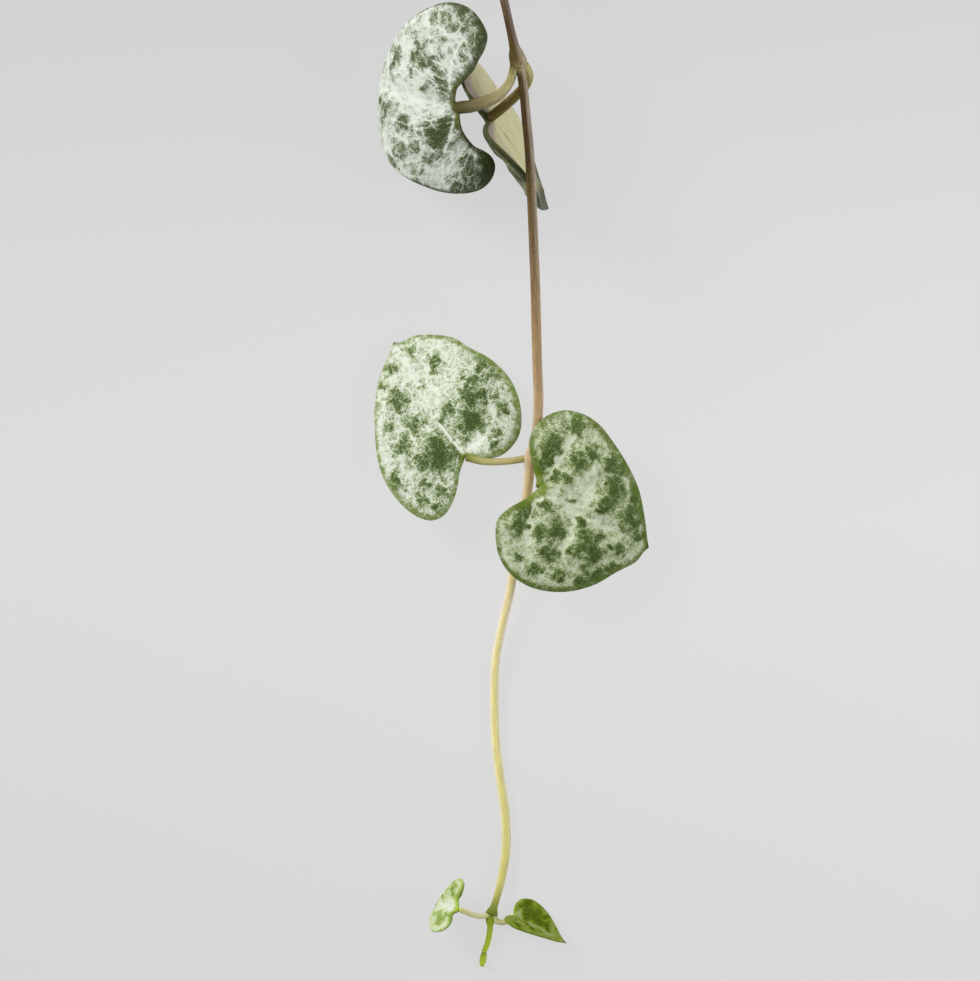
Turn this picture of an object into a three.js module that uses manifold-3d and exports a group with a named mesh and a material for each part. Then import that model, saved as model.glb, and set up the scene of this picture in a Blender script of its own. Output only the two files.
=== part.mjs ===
// String of hearts cutting: a trailing stem, three pairs of heart leaves and a growing tip.
// Millimetres, +Z up, +Y along the stem toward its cut end.
import * as THREE from "three";
import Module from "manifold-3d";

const wasm = await Module();
wasm.setup();

// Middle of the footprint, in the frame that the tables below are written in.
const ORIGIN = [2.525, 4.005, 0];

// Clearance between neighbouring pieces, and how finely the surfaces are divided.
const CLEARANCE = 0.12;
const STEM_SIDES = 10;
const PETIOLE_SIDES = 10;

// Each leaf is written flat, u from the petiole to the tip and v to its left.
// left and right: margin stations from the petiole notch to the tip, v counted outward.
// bulges: middle u and v, radius and height. veins: lines that lie sunken between them.
// at: the petiole notch. turn: heading, dip and roll in degrees.
// bendTip and bendBack: curvature ahead of the notch and behind it, per mm.
// bendSide and bendLeft: curvature across, on the right and on the left.
const LEAVES = {
  leaf_upper_left: {
    left: [
      [0, 0], [-0.35, 0.56], [-0.58, 1.39], [-1.05, 2.49], [-1.95, 3.53], [-2.97, 4.28],
      [-4.09, 4.59], [-4.98, 5.09], [-5.65, 5.96], [-5.85, 7.03], [-5.56, 8.19], [-4.64, 9.26],
      [-3.22, 9.92], [-1.53, 10.29], [0.96, 10.43], [3.25, 10.24], [5.6, 9.92], [8.14, 9.35],
      [10.5, 8.4], [12.6, 6.9], [14.6, 4.8], [15.8, 2.5], [16.8, 0],
    ],
    right: [
      [0, 0], [0.35, 0.7], [0.4, 1.4], [0.3, 2.26], [-0.4, 3.27], [-1.23, 4.57], [-1.62, 5.8],
      [-2.05, 6.88], [-2.26, 7.94], [-2.19, 8.81], [-1.7, 9.62], [-0.8, 10.52], [0.54, 11.38],
      [2.21, 11.79], [4.07, 11.76], [5.69, 11.36], [7.06, 10.71], [8.68, 9.8], [10.39, 8.56],
      [12.33, 6.84], [14.22, 4.5], [15.8, 2.1], [16.8, 0],
    ],
    hub: 2.6,
    thick: 1.15,
    at: [-3.81, 44.15, 12.08],
    turn: [168.3, 11.46, -12.3],
    bendTip: -0.087,
    bendBack: -0.103,
    bendSide: -0.031,
    bendLeft: -0.031,
    twist: 0,
    fold: 0,
    bulges: [[3.2, 4.2, 2.4, 0.35], [4.4, -3.6, 2.6, 0.35], [3, -8, 2.2, 0.3], [0.5, 7.6, 2, 0.25]],
    veins: [[[0, 0], [6, -0.4], [12, 0]], [[0, 0], [1.2, 3.5], [1, 7.5]]],
  },
  leaf_upper_right: {
    left: [
      [0, 0], [-0.7, 1.4], [-1.45, 3.1], [-2, 4.7], [-2.1, 6.4], [-1.3, 7.9], [0, 9], [1.6, 9.8],
      [3.3, 9.85], [5.1, 9.4], [7.2, 8.4], [9.2, 7], [10.9, 5.5], [12.4, 4], [13.8, 2.6],
      [15.1, 1.2], [16.15, 0],
    ],
    right: [
      [0, 0], [-0.7, 0.4], [-1.75, 0.85], [-2.8, 1.35], [-3.7, 2.1], [-4.3, 3.3], [-4.45, 5],
      [-3.95, 6.8], [-2.8, 8.13], [-1, 9], [0.9, 8.85], [3, 8.5], [5, 8.47], [7, 8.5], [8.6, 8.25],
      [10.2, 7.15], [11.5, 5.64], [12.6, 4.14], [13.5, 2.8], [14.8, 1.3], [16.15, 0],
    ],
    hub: 2.4,
    thick: 1.05,
    at: [-0.46, 42.64, 11.62],
    turn: [-48.4, 40.4, 113.8],
    bendTip: 0.007,
    bendBack: 0.053,
    bendSide: -0.011,
    bendLeft: -0.064,
    twist: 0.002,
    fold: 0,
    bulges: [[4, 4, 2.4, -0.2], [4, -4, 2.4, -0.2]],
    veins: [[[0, 0], [8, 0], [13, 0]], [[0, 0], [1.2, 3.8], [1.6, 7]], [[0, 0], [1.2, -3.8], [1.6, -7]]],
  },
  leaf_middle_left: {
    left: [
      [0, 0], [-1.25, 1.55], [-2.55, 2.7], [-3.75, 4.1], [-4.5, 5.8], [-4.25, 7.33], [-3, 8.52],
      [-0.6, 9.4], [2.4, 9.6], [5.15, 9], [8.27, 7.5], [11.33, 5.52], [13.8, 3.3], [15.3, 1.1],
      [16.25, 0],
    ],
    right: [
      [0, 0], [-0.9, 1], [-1.8, 2.4], [-2.15, 4], [-1.4, 6.4], [0.4, 8], [2.9, 9.03], [5.5, 9.27],
      [8.45, 8.55], [10.8, 7.25], [12.9, 6.2], [14.5, 4.35], [15.6, 2.3], [15.75, 0.75],
      [16.25, 0],
    ],
    hub: 2.4,
    thick: 1.1,
    at: [-2.87, 3.98, 4.3],
    turn: [122.2, 6, 0],
    bendTip: -0.012,
    bendBack: -0.02,
    bendSide: -0.018,
    bendLeft: -0.018,
    twist: 0,
    fold: 0,
    bulges: [[3, 3.4, 2.3, 0.75], [5.2, -4.2, 3, 0.7], [9.9, 4.6, 1.8, 0.35], [7, -0.9, 1.4, 0.3]],
    veins: [[[0, 0], [4, 0.1], [9, 0.1], [14, 0]], [[0, 0], [1.6, -2.2], [3, -5], [5, -6.9]]],
  },
  leaf_middle_right: {
    left: [
      [0, 0], [-1.4, 1.4], [-2.8, 3], [-3.7, 4.6], [-3.8, 6], [-3.1, 7.9], [-1.57, 9.43],
      [0.6, 10.05], [2.8, 9.88], [5.32, 8.83], [8.2, 7.25], [10.7, 5.4], [12.85, 2.97],
      [14.25, 1.2], [15.25, 0],
    ],
    right: [
      [0, 0], [-0.7, 1.7], [-2.05, 3.97], [-2.48, 5.5], [-1.9, 7.1], [-0.43, 9.05], [1.67, 10.35],
      [4.4, 10.73], [7.13, 10.1], [9.5, 8.8], [11.6, 6.8], [13.1, 4.4], [14.65, 2.2],
      [14.95, 0.82], [15.25, 0],
    ],
    hub: 2.2,
    thick: 1.1,
    at: [5.69, 0.31, 7],
    turn: [-28.4, 6, 0],
    bendTip: -0.02,
    bendBack: -0.01,
    bendSide: -0.015,
    bendLeft: -0.015,
    twist: 0,
    fold: 0,
    bulges: [
      [-1.4, 5.4, 1.5, 0.4], [1.2, 8, 1.3, 0.3], [2.6, 5, 1.8, 0.5], [5.2, 5, 1.1, 0.3],
      [2.4, 2, 1.3, 0.35], [1.9, -1.7, 1.5, 0.45], [3.4, -4.5, 2, 0.6], [7.3, 1.7, 2, 0.6],
      [7.9, -3.4, 2.2, 0.6], [10.8, 1.1, 1.4, 0.4], [11.2, -2, 1.2, 0.35], [-1.2, -5.3, 1.5, 0.35],
    ],
    veins: [
      [[0, 0], [5, -0.4], [9.5, -0.3], [14, 0]], [[0, 0], [0.9, 3], [1.8, 5.6], [0.4, 8]],
      [[0, 0], [0.3, -2.4], [1.4, -5], [2.4, -7.6]], [[6, 3.6], [5.6, 0], [4.9, -3.6], [5.6, -6.4]],
    ],
  },
  leaf_tip_left: {
    left: [
      [-0.38, 0], [-0.26, 0.33], [0.34, 0.69], [0.42, 1.13], [-0.06, 1.71], [-0.11, 2.4],
      [0.25, 2.96], [0.86, 3.32], [1.73, 3.5], [2.78, 2.94], [3.81, 2.12], [4.67, 1.18], [5.05, 0],
    ],
    right: [
      [-0.38, 0], [0.15, 0.57], [0.5, 1.13], [0.45, 1.56], [0.12, 2.05], [-0.03, 2.6],
      [0.04, 3.12], [0.84, 3.5], [1.79, 3.25], [2.71, 2.8], [3.54, 2.15], [4.25, 1.37],
      [4.86, 0.54], [5.05, 0],
    ],
    hub: 1.6,
    thick: 0.7,
    at: [-3.938, -48.768, 4.727],
    turn: [172.2, 52.17, 18.5],
    bendTip: -0.059,
    bendBack: 0.192,
    bendSide: 0.066,
    bendLeft: 0.066,
    twist: 0.021,
    fold: 2.1,
    bulges: [],
    veins: [[[0, 0], [4.4, 0]], [[0, 0], [0.9, 2.4]], [[0, 0], [0.9, -2.4]]],
  },
  leaf_tip_right: {
    left: [
      [0, 0], [-0.39, 0.5], [-0.54, 1.3], [-0.15, 2.1], [0.89, 2.6], [2.18, 2.5], [3.57, 2],
      [5.06, 1.1], [6.16, 0.4], [6.95, 0],
    ],
    right: [
      [0, 0], [-0.46, 0.5], [-0.83, 1.3], [-0.65, 2.2], [0.4, 2.7], [1.79, 2.4], [3.38, 1.7],
      [4.97, 0.9], [6.16, 0.35], [6.95, 0],
    ],
    hub: 0.9,
    thick: 0.7,
    at: [2.91, -49.85, 0.86],
    turn: [-28.5, -4.7, -36.9],
    bendTip: 0,
    bendBack: 0,
    bendSide: 0,
    bendLeft: 0,
    twist: 0,
    fold: 31.6,
    bulges: [],
    veins: [[[0, 0], [5.6, 0]], [[0, 0], [1, 1.6]], [[0, 0], [1, -1.6]]],
  },
};

// Stem axis from the cut end to the growing tip: x, y, z and radius.
const STEM = [
  [-0.12, 63.79, 10.9, 0.54], [0.75, 60.01, 11.9, 0.52], [1.65, 56.26, 12.7, 0.5],
  [2.46, 52.5, 13.3, 0.51], [2.95, 50.4, 13.6, 0.62], [3.56, 48.1, 13.9, 0.54],
  [3.88, 45.8, 14.7, 0.54], [4.16, 42.5, 16.3, 0.54], [4.46, 39, 18, 0.55],
  [4.66, 35.6, 18.5, 0.56], [4.86, 31.8, 17.4, 0.56], [5.11, 25.9, 14.6, 0.57],
  [5.3, 20, 11.4, 0.58], [5.5, 14.4, 8.8, 0.58], [5.65, 10.3, 6.9, 0.58],
  [5.42, 7.05, 5.6, 0.58], [4.73, 3.79, 4.9, 0.62], [4.5, 0.99, 4.4, 0.6],
  [4.09, -1.69, 3.9, 0.58], [3.1, -6.73, 3, 0.56], [2.28, -12.13, 2.2, 0.54],
  [1.17, -17.07, 1.4, 0.53], [0.65, -20.49, 1, 0.53], [0.53, -25.2, 0.7, 0.53],
  [0.71, -29.79, 0.56, 0.53], [1.23, -34.02, 0.53, 0.53], [1.8, -38.13, 0.6, 0.54],
  [1.88, -42, 0.75, 0.54], [1.41, -45.28, 0.95, 0.5], [0.7, -48.08, 1.2, 0.44],
  [0.18, -49.72, 1.3, 0.5],
];

// Swollen nodes on the stem: middle, then half sizes along x, y and z.
const NODES = [
  [[3.3, 49.25, 13.85], [1.08, 1.55, 0.95]],
  [[4.75, 3.8, 4.9], [0.75, 1.2, 0.72]],
  [[0.15, -49.7, 1.3], [0.7, 0.9, 0.66]],
];

// Axes of the petioles, the young shoot and its bud: x, y, z and radius.
const PETIOLES = {
  petiole_upper_left: [
    [2.85, 49.1, 13.9, 0.5], [2.62, 47.86, 14.15, 0.52], [2.24, 46.8, 14.3, 0.53],
    [1.15, 45.48, 14.25, 0.62], [-0.58, 44.69, 13.65, 0.74], [-2.3, 44.24, 12.9, 0.72],
    [-3.57, 44.15, 12.3, 0.6],
  ],
  petiole_upper_right: [
    [4.05, 49, 13.6, 0.5], [4.45, 47.8, 13.1, 0.6], [4.1, 46.7, 12.8, 0.6],
    [3.1, 45.6, 12.5, 0.6], [1.5, 44.2, 12.1, 0.62], [0, 43, 11.7, 0.6],
  ],
  petiole_middle_left: [
    [4.6, 3.8, 4.9, 0.45], [2, 3.4, 4.9, 0.42], [-0.8, 3.4, 4.7, 0.44], [-2.7, 3.9, 4.4, 0.5],
  ],
  petiole_middle_right: [
    [4.8, 3.7, 4.9, 0.5], [5.6, 2.8, 5.4, 0.45], [5.9, 1.6, 6.1, 0.45], [5.75, 0.5, 6.9, 0.45],
  ],
  petiole_tip_left: [
    [0.1, -49.7, 1.3, 0.34], [-0.9, -49.95, 1.8, 0.32], [-2.1, -49.65, 2.9, 0.32],
    [-3.2, -49.1, 4.2, 0.32], [-3.65, -48.88, 4.7, 0.3],
  ],
  petiole_tip_right: [
    [0.25, -49.7, 1.3, 0.38], [0.9, -50.6, 1.15, 0.36], [2, -50.6, 1, 0.34], [2.75, -49.95, 0.9, 0.34],
  ],
};
const SHOOT = [
  [0.05, -49.9, 1.2, 0.38], [0, -51.6, 1, 0.36], [-0.3, -53.2, 0.8, 0.34], [-0.7, -54.2, 0.7, 0.32],
];
const BUD = [
  [-0.66, -54.3, 0.72, 0.3], [-0.75, -54.8, 0.7, 0.42], [-0.85, -55.4, 0.68, 0.4],
  [-0.95, -55.9, 0.66, 0.24],
];

const MATERIALS = {
  leaf: { color: "#7f9c6f", roughness: 0.55 },
  youngLeaf: { color: "#8fb04e", roughness: 0.5 },
  stem: { color: "#a98f6c", roughness: 0.6 },
  petiole: { color: "#a9a46c", roughness: 0.6 },
  shoot: { color: "#8faf2c", roughness: 0.5 },
};

function plantMaterial(name) {
  return new THREE.MeshStandardMaterial({ ...MATERIALS[name], metalness: 0 });
}

// Evenly spaced points along the smooth curve through the stations, any number of columns.
function throughPoints(stations, steps) {
  const columns = stations[0].length;
  const ends = (near, far) => near.map((c, k) => 2 * c - far[k]);
  const all = [
    ends(stations[0], stations[1]),
    ...stations,
    ends(stations.at(-1), stations.at(-2)),
  ];
  const gap = (a, b) => Math.max(Math.hypot(...a.map((c, k) => c - b[k])) ** 0.5, 1e-4);
  const dense = [];
  for (let i = 1; i + 2 < all.length; i++) {
    const [p0, p1, p2, p3] = all.slice(i - 1, i + 3);
    const d0 = gap(p0, p1);
    const d1 = gap(p1, p2);
    const d2 = gap(p2, p3);
    for (let j = 0; j < 24; j++) {
      const t = j / 24;
      dense.push(p1.map((_, k) => {
        const a = ((p1[k] - p0[k]) / d0 - (p2[k] - p0[k]) / (d0 + d1) + (p2[k] - p1[k]) / d1) * d1;
        const b = ((p2[k] - p1[k]) / d1 - (p3[k] - p1[k]) / (d1 + d2) + (p3[k] - p2[k]) / d2) * d1;
        const rest = 2 * p1[k] - 2 * p2[k] + a + b;
        return p1[k] + a * t + (3 * p2[k] - 3 * p1[k] - 2 * a - b) * t * t + rest * t * t * t;
      }));
    }
  }
  dense.push(stations.at(-1));
  const along = [0];
  for (let i = 1; i < dense.length; i++) {
    const step = Math.hypot(...dense[i].slice(0, 3).map((c, k) => c - dense[i - 1][k]));
    along.push(along[i - 1] + step);
  }
  const out = [];
  let i = 0;
  for (let n = 0; n <= steps; n++) {
    const want = (along.at(-1) * n) / steps;
    while (i < along.length - 2 && along[i + 1] < want) i++;
    const t = Math.min((want - along[i]) / (along[i + 1] - along[i]), 1);
    const point = [];
    for (let k = 0; k < columns; k++) point.push(dense[i][k] * (1 - t) + dense[i + 1][k] * t);
    out.push(point);
  }
  return out;
}

function distanceToLine(u, v, line) {
  let best = Infinity;
  for (let i = 1; i < line.length; i++) {
    const [au, av] = line[i - 1];
    const [bu, bv] = line[i];
    const du = bu - au;
    const dv = bv - av;
    const t = Math.min(Math.max(((u - au) * du + (v - av) * dv) / (du * du + dv * dv), 0), 1);
    best = Math.min(best, Math.hypot(u - au - t * du, v - av - t * dv));
  }
  return best;
}

// Height of the middle of the blade over its flat plan: bulges between sunken veins.
function relief(leaf, u, v) {
  let h = 0;
  for (const [bu, bv, r, top] of leaf.bulges) {
    h += top * Math.exp(-((u - bu) ** 2 + (v - bv) ** 2) / (r * r));
  }
  const size = leaf.thick / 1.1;
  let sunk = 0;
  for (const line of leaf.veins) {
    sunk = Math.max(sunk, Math.exp(-((distanceToLine(u, v, line) / size) ** 2)));
  }
  return h - 0.22 * size * sunk;
}

// A point of the flat plan at height h, bent, folded and turned into its place.
function placeOnLeaf(leaf, u, v, h) {
  const side = (v > 0 ? leaf.bendLeft : leaf.bendSide) || 1e-6;
  const fold = THREE.MathUtils.degToRad(leaf.fold);
  const ridge = Math.hypot(v, 0.5) - 0.5;
  const across = (1 / side - h) * Math.sin(side * v) - Math.sign(v) * ridge * (1 - Math.cos(fold));
  const lift = 1 / side - (1 / side - h) * Math.cos(side * v) + ridge * Math.sin(fold);
  const spin = leaf.twist * u;
  const y = across * Math.cos(spin) - lift * Math.sin(spin);
  const z = across * Math.sin(spin) + lift * Math.cos(spin);
  const bend = (u > 0 ? leaf.bendTip : leaf.bendBack) || 1e-6;
  const x = (1 / bend - z) * Math.sin(bend * u);
  const up = 1 / bend - (1 / bend - z) * Math.cos(bend * u);
  const [heading, dip, roll] = leaf.turn.map(THREE.MathUtils.degToRad);
  const e = new THREE.Vector3(
    Math.cos(heading) * Math.cos(dip),
    Math.sin(heading) * Math.cos(dip),
    -Math.sin(dip),
  );
  const flat = new THREE.Vector3(-Math.sin(heading), Math.cos(heading), 0);
  const normal = new THREE.Vector3().crossVectors(e, flat);
  const f = flat.clone().multiplyScalar(Math.cos(roll)).addScaledVector(normal, Math.sin(roll));
  const n = new THREE.Vector3().crossVectors(e, f);
  return new THREE.Vector3(...leaf.at)
    .addScaledVector(e, x)
    .addScaledVector(f, y)
    .addScaledVector(n, up);
}

// Rings of the fan that makes a blade, as shares of the way from the hub to the margin.
const RINGS = [0.16, 0.34, 0.51, 0.66, 0.79, 0.89, 0.96, 1];

// A share r of the way from the hub to a margin point, along rays that bow out into the lobes.
function onRay(leaf, mu, mv, r) {
  const bow = 2 * r * (1 - r) * Math.max(-mu, 0);
  return [leaf.hub + (mu - leaf.hub) * r + 0.3 * bow, mv * r + 0.45 * bow * Math.sign(mv)];
}

// A closed blade. grow widens and thickens it, for cutting its neighbours clear.
function bladeGeometry(leaf, halfSteps, grow = 0) {
  const left = throughPoints(leaf.left, halfSteps);
  const right = throughPoints(leaf.right, halfSteps).map(([u, v]) => [u, -v]);
  const margin = [...left, ...right.slice(1, -1).reverse()];
  const count = margin.length;
  const positions = [];
  const place = (u, v, half) => {
    const p = placeOnLeaf(leaf, u, v, relief(leaf, u, v) + half);
    positions.push(p.x - ORIGIN[0], p.y - ORIGIN[1], p.z - ORIGIN[2]);
  };
  for (const face of [1, -1]) {
    place(leaf.hub, 0, face * (leaf.thick / 2 + grow));
    for (const r of RINGS.slice(0, -1)) {
      const half = (leaf.thick / 2) * Math.sqrt(1 - r ** 9) + grow;
      for (const [mu, mv] of margin) {
        const reach = Math.hypot(mu - leaf.hub, mv);
        place(...onRay(leaf, mu, mv, r * (1 + grow / reach)), face * half);
      }
    }
  }
  const rim = positions.length / 3;
  for (const [mu, mv] of margin) {
    place(...onRay(leaf, mu, mv, 1 + (1.4 * grow) / Math.hypot(mu - leaf.hub, mv)), 0);
  }
  const index = [];
  const sheet = 1 + (RINGS.length - 1) * count;
  const vertex = (face, ring, i) => {
    if (ring === RINGS.length - 1) return rim + (i % count);
    return face * sheet + 1 + ring * count + (i % count);
  };
  for (let face = 0; face < 2; face++) {
    const add = (a, b, c) => index.push(...(face === 0 ? [a, b, c] : [a, c, b]));
    for (let i = 0; i < count; i++) {
      add(face * sheet, vertex(face, 0, i + 1), vertex(face, 0, i));
      for (let ring = 1; ring < RINGS.length; ring++) {
        const a = vertex(face, ring - 1, i);
        const b = vertex(face, ring - 1, i + 1);
        const c = vertex(face, ring, i + 1);
        const d = vertex(face, ring, i);
        add(a, b, c);
        add(a, c, d);
      }
    }
  }
  const geometry = new THREE.BufferGeometry();
  geometry.setAttribute("position", new THREE.Float32BufferAttribute(positions, 3));
  geometry.setIndex(index);
  return geometry;
}

// A closed tube of varying radius with domed ends.
function tubeGeometry(stations, steps, sides, grow = 0) {
  const line = throughPoints(stations, steps);
  const positions = [];
  const up = new THREE.Vector3(0, 0, 1);
  const point = (i) => new THREE.Vector3(...line[i].slice(0, 3)).sub(new THREE.Vector3(...ORIGIN));
  for (let i = 0; i <= steps; i++) {
    const ahead = point(Math.min(i + 1, steps)).sub(point(Math.max(i - 1, 0))).normalize();
    const side = new THREE.Vector3().crossVectors(ahead, up).normalize();
    const over = new THREE.Vector3().crossVectors(side, ahead);
    const radius = line[i][3] + grow;
    for (let k = 0; k < sides; k++) {
      const a = (2 * Math.PI * (k + 0.5)) / sides;
      const p = point(i)
        .addScaledVector(side, radius * Math.cos(a))
        .addScaledVector(over, radius * Math.sin(a));
      positions.push(p.x, p.y, p.z);
    }
  }
  const first = positions.length / 3;
  for (const [end, next] of [[0, 1], [steps, steps - 1]]) {
    const out = point(end).sub(point(next)).normalize();
    const p = point(end).addScaledVector(out, 0.25 * line[end][3] + grow);
    positions.push(p.x, p.y, p.z);
  }
  const index = [];
  for (let k = 0; k < sides; k++) {
    const n = (k + 1) % sides;
    index.push(first, k, n);
    index.push(first + 1, steps * sides + n, steps * sides + k);
    for (let i = 0; i < steps; i++) {
      const a = i * sides + k;
      const b = i * sides + n;
      index.push(a, b + sides, b, a, a + sides, b + sides);
    }
  }
  const geometry = new THREE.BufferGeometry();
  geometry.setAttribute("position", new THREE.Float32BufferAttribute(positions, 3));
  geometry.setIndex(index);
  return geometry;
}

function swellingGeometry([middle, half], grow = 0) {
  const geometry = new THREE.IcosahedronGeometry(1, 2);
  geometry.deleteAttribute("normal");
  geometry.deleteAttribute("uv");
  geometry.scale(half[0] + grow, half[1] + grow, half[2] + grow);
  geometry.translate(middle[0] - ORIGIN[0], middle[1] - ORIGIN[1], middle[2] - ORIGIN[2]);
  const position = geometry.getAttribute("position");
  const seen = new Map();
  const points = [];
  const index = [];
  for (let i = 0; i < position.count; i++) {
    const p = [position.getX(i), position.getY(i), position.getZ(i)];
    const key = p.map((c) => c.toFixed(4)).join();
    if (!seen.has(key)) {
      seen.set(key, points.length / 3);
      points.push(...p);
    }
    index.push(seen.get(key));
  }
  const merged = new THREE.BufferGeometry();
  merged.setAttribute("position", new THREE.Float32BufferAttribute(points, 3));
  merged.setIndex(index);
  return merged;
}

function solidFrom(geometry) {
  return new wasm.Manifold(
    new wasm.Mesh({
      numProp: 3,
      vertProperties: new Float32Array(geometry.getAttribute("position").array),
      triVerts: new Uint32Array(geometry.getIndex().array),
    }),
  );
}

function geometryFrom(solid) {
  const mesh = solid.getMesh();
  const geometry = new THREE.BufferGeometry();
  const positions = new Float32Array((mesh.vertProperties.length / mesh.numProp) * 3);
  for (let i = 0; i < positions.length / 3; i++) {
    for (let k = 0; k < 3; k++) {
      positions[3 * i + k] = mesh.vertProperties[mesh.numProp * i + k];
    }
  }
  geometry.setAttribute("position", new THREE.BufferAttribute(positions, 3));
  geometry.setIndex([...mesh.triVerts]);
  return geometry;
}

function namedMesh(name, geometry, materialName) {
  const mesh = new THREE.Mesh(geometry, plantMaterial(materialName));
  mesh.name = name;
  return mesh;
}

function stemSolid(grow = 0) {
  let solid = solidFrom(tubeGeometry(STEM, 84, STEM_SIDES, grow));
  for (const swelling of NODES) solid = solid.add(solidFrom(swellingGeometry(swelling, grow)));
  return solid;
}

function leafSteps(leaf) {
  return leaf.left.at(-1)[0] > 10 ? 24 : 14;
}

const cutting = new THREE.Group();
cutting.name = "string_of_hearts";

cutting.add(namedMesh("stem", geometryFrom(stemSolid()), "stem"));

for (const [name, leaf] of Object.entries(LEAVES)) {
  const young = name.includes("tip");
  cutting.add(namedMesh(name, bladeGeometry(leaf, leafSteps(leaf)), young ? "youngLeaf" : "leaf"));
}

// Each petiole and the shoot stop a clearance short of the stem and of their leaf.
const stemRoom = stemSolid(CLEARANCE);
for (const [name, stations] of Object.entries(PETIOLES)) {
  const leaf = LEAVES[name.replace("petiole", "leaf")];
  const room = solidFrom(bladeGeometry(leaf, leafSteps(leaf), CLEARANCE));
  const solid = solidFrom(tubeGeometry(stations, 12, PETIOLE_SIDES)).subtract(stemRoom).subtract(room);
  cutting.add(namedMesh(name, geometryFrom(solid), "petiole"));
}

const shoot = solidFrom(tubeGeometry(SHOOT, 10, PETIOLE_SIDES)).subtract(stemRoom);
cutting.add(namedMesh("shoot", geometryFrom(shoot), "shoot"));

const bud = solidFrom(tubeGeometry(BUD, 8, 10));
const shootRoom = solidFrom(tubeGeometry(SHOOT, 10, PETIOLE_SIDES, CLEARANCE));
cutting.add(namedMesh("bud", geometryFrom(bud.subtract(shootRoom)), "shoot"));

export default cutting;
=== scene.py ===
from functools import partial
import math

import bpy
import numpy as np
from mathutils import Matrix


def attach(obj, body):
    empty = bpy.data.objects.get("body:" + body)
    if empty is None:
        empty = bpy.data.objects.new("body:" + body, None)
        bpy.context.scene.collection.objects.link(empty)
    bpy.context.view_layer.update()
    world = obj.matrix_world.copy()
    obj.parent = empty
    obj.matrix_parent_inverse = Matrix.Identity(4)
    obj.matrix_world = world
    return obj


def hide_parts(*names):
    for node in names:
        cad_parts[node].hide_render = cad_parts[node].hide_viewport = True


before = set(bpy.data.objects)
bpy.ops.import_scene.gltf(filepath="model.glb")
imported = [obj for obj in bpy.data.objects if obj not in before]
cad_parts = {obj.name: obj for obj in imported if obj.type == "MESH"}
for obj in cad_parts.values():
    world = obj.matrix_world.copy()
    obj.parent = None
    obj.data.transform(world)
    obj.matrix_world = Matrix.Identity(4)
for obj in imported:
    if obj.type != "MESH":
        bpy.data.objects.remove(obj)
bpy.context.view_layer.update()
scene = bpy.context.scene
mm = 0.001
footprintMiddle = np.array([2.525, 4.005, 0.0])  # of the tables below, mm


# small helpers

def linear(hexColour):
    # sRGB to linear light: dark channels over 12.92, the others raised to 2.4
    channel = np.array([int(hexColour[i:i + 2], 16) for i in (1, 3, 5)]) / 255
    light = np.where(channel <= 0.04045, channel / 12.92, ((channel + 0.055) / 1.055) ** 2.4)
    return (*light.tolist(), 1.0)


def addNode(tree, kind, inputs=(), stops=(), **settings):
    # one node with its settings; inputs by name, or a row in the order of its sockets; each
    # takes a value, a socket, or a node, which stands for its first output in use
    made = tree.nodes.new("ShaderNode" + kind)
    for name, value in settings.items():
        setattr(made, name, value)
    for socket, value in inputs.items() if isinstance(inputs, dict) else enumerate(inputs):
        if isinstance(value, bpy.types.Node):
            value = next(output for output in value.outputs if output.enabled)
        if isinstance(value, bpy.types.NodeSocket):
            tree.links.new(value, made.inputs[socket])
        else:
            made.inputs[socket].default_value = value
    for i, (place, colour) in enumerate(stops):
        ramp = made.color_ramp.elements
        stop = ramp[i] if i < 2 else ramp.new(place)
        stop.position = place
        stop.color = linear(colour)
    return made


def addProducts(add, total, pairs):
    # the total plus the product of each pair
    for first, second in pairs:
        total = add("Math", (first, second, total), operation="MULTIPLY_ADD")
    return total


def layColours(add, colour, layers):
    # each layer's tint laid over the colour as far as its share says
    for share, tint in layers:
        colour = add("Mix", {0: share, 6: colour, 7: tint}, data_type="RGBA")
    return colour


def shadeBy(add, colour, noise, low=0.93, high=1.07):
    # brightness times low where the noise is 0.3, times high where it is 0.7
    shade = add("MapRange", (noise, 0.3, 0.7, low, high))
    return add("VectorMath", {0: colour, "Scale": shade}, operation="SCALE")


def startMaterial(name):
    # a material, and the function that adds nodes to its empty tree
    made = bpy.data.materials.new(name)
    made.use_nodes = True
    made.node_tree.nodes.clear()
    return made, partial(addNode, made.node_tree)


def finishMaterial(add, colour, height, depth, shader):
    # bump of that depth in metres, the shader with its fixed values, and the output
    bump = add("Bump", {"Height": height, "Distance": depth, "Strength": 1.0})
    skin = add("BsdfPrincipled", {"Base Color": colour, "Normal": bump, **shader})
    add("OutputMaterial", {"Surface": skin})


def lengthAlong(points):
    # way from the first point to each one, as the sum of the straight spans
    return np.r_[0, np.cumsum(np.linalg.norm(np.diff(points, axis=0), axis=1))]


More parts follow.
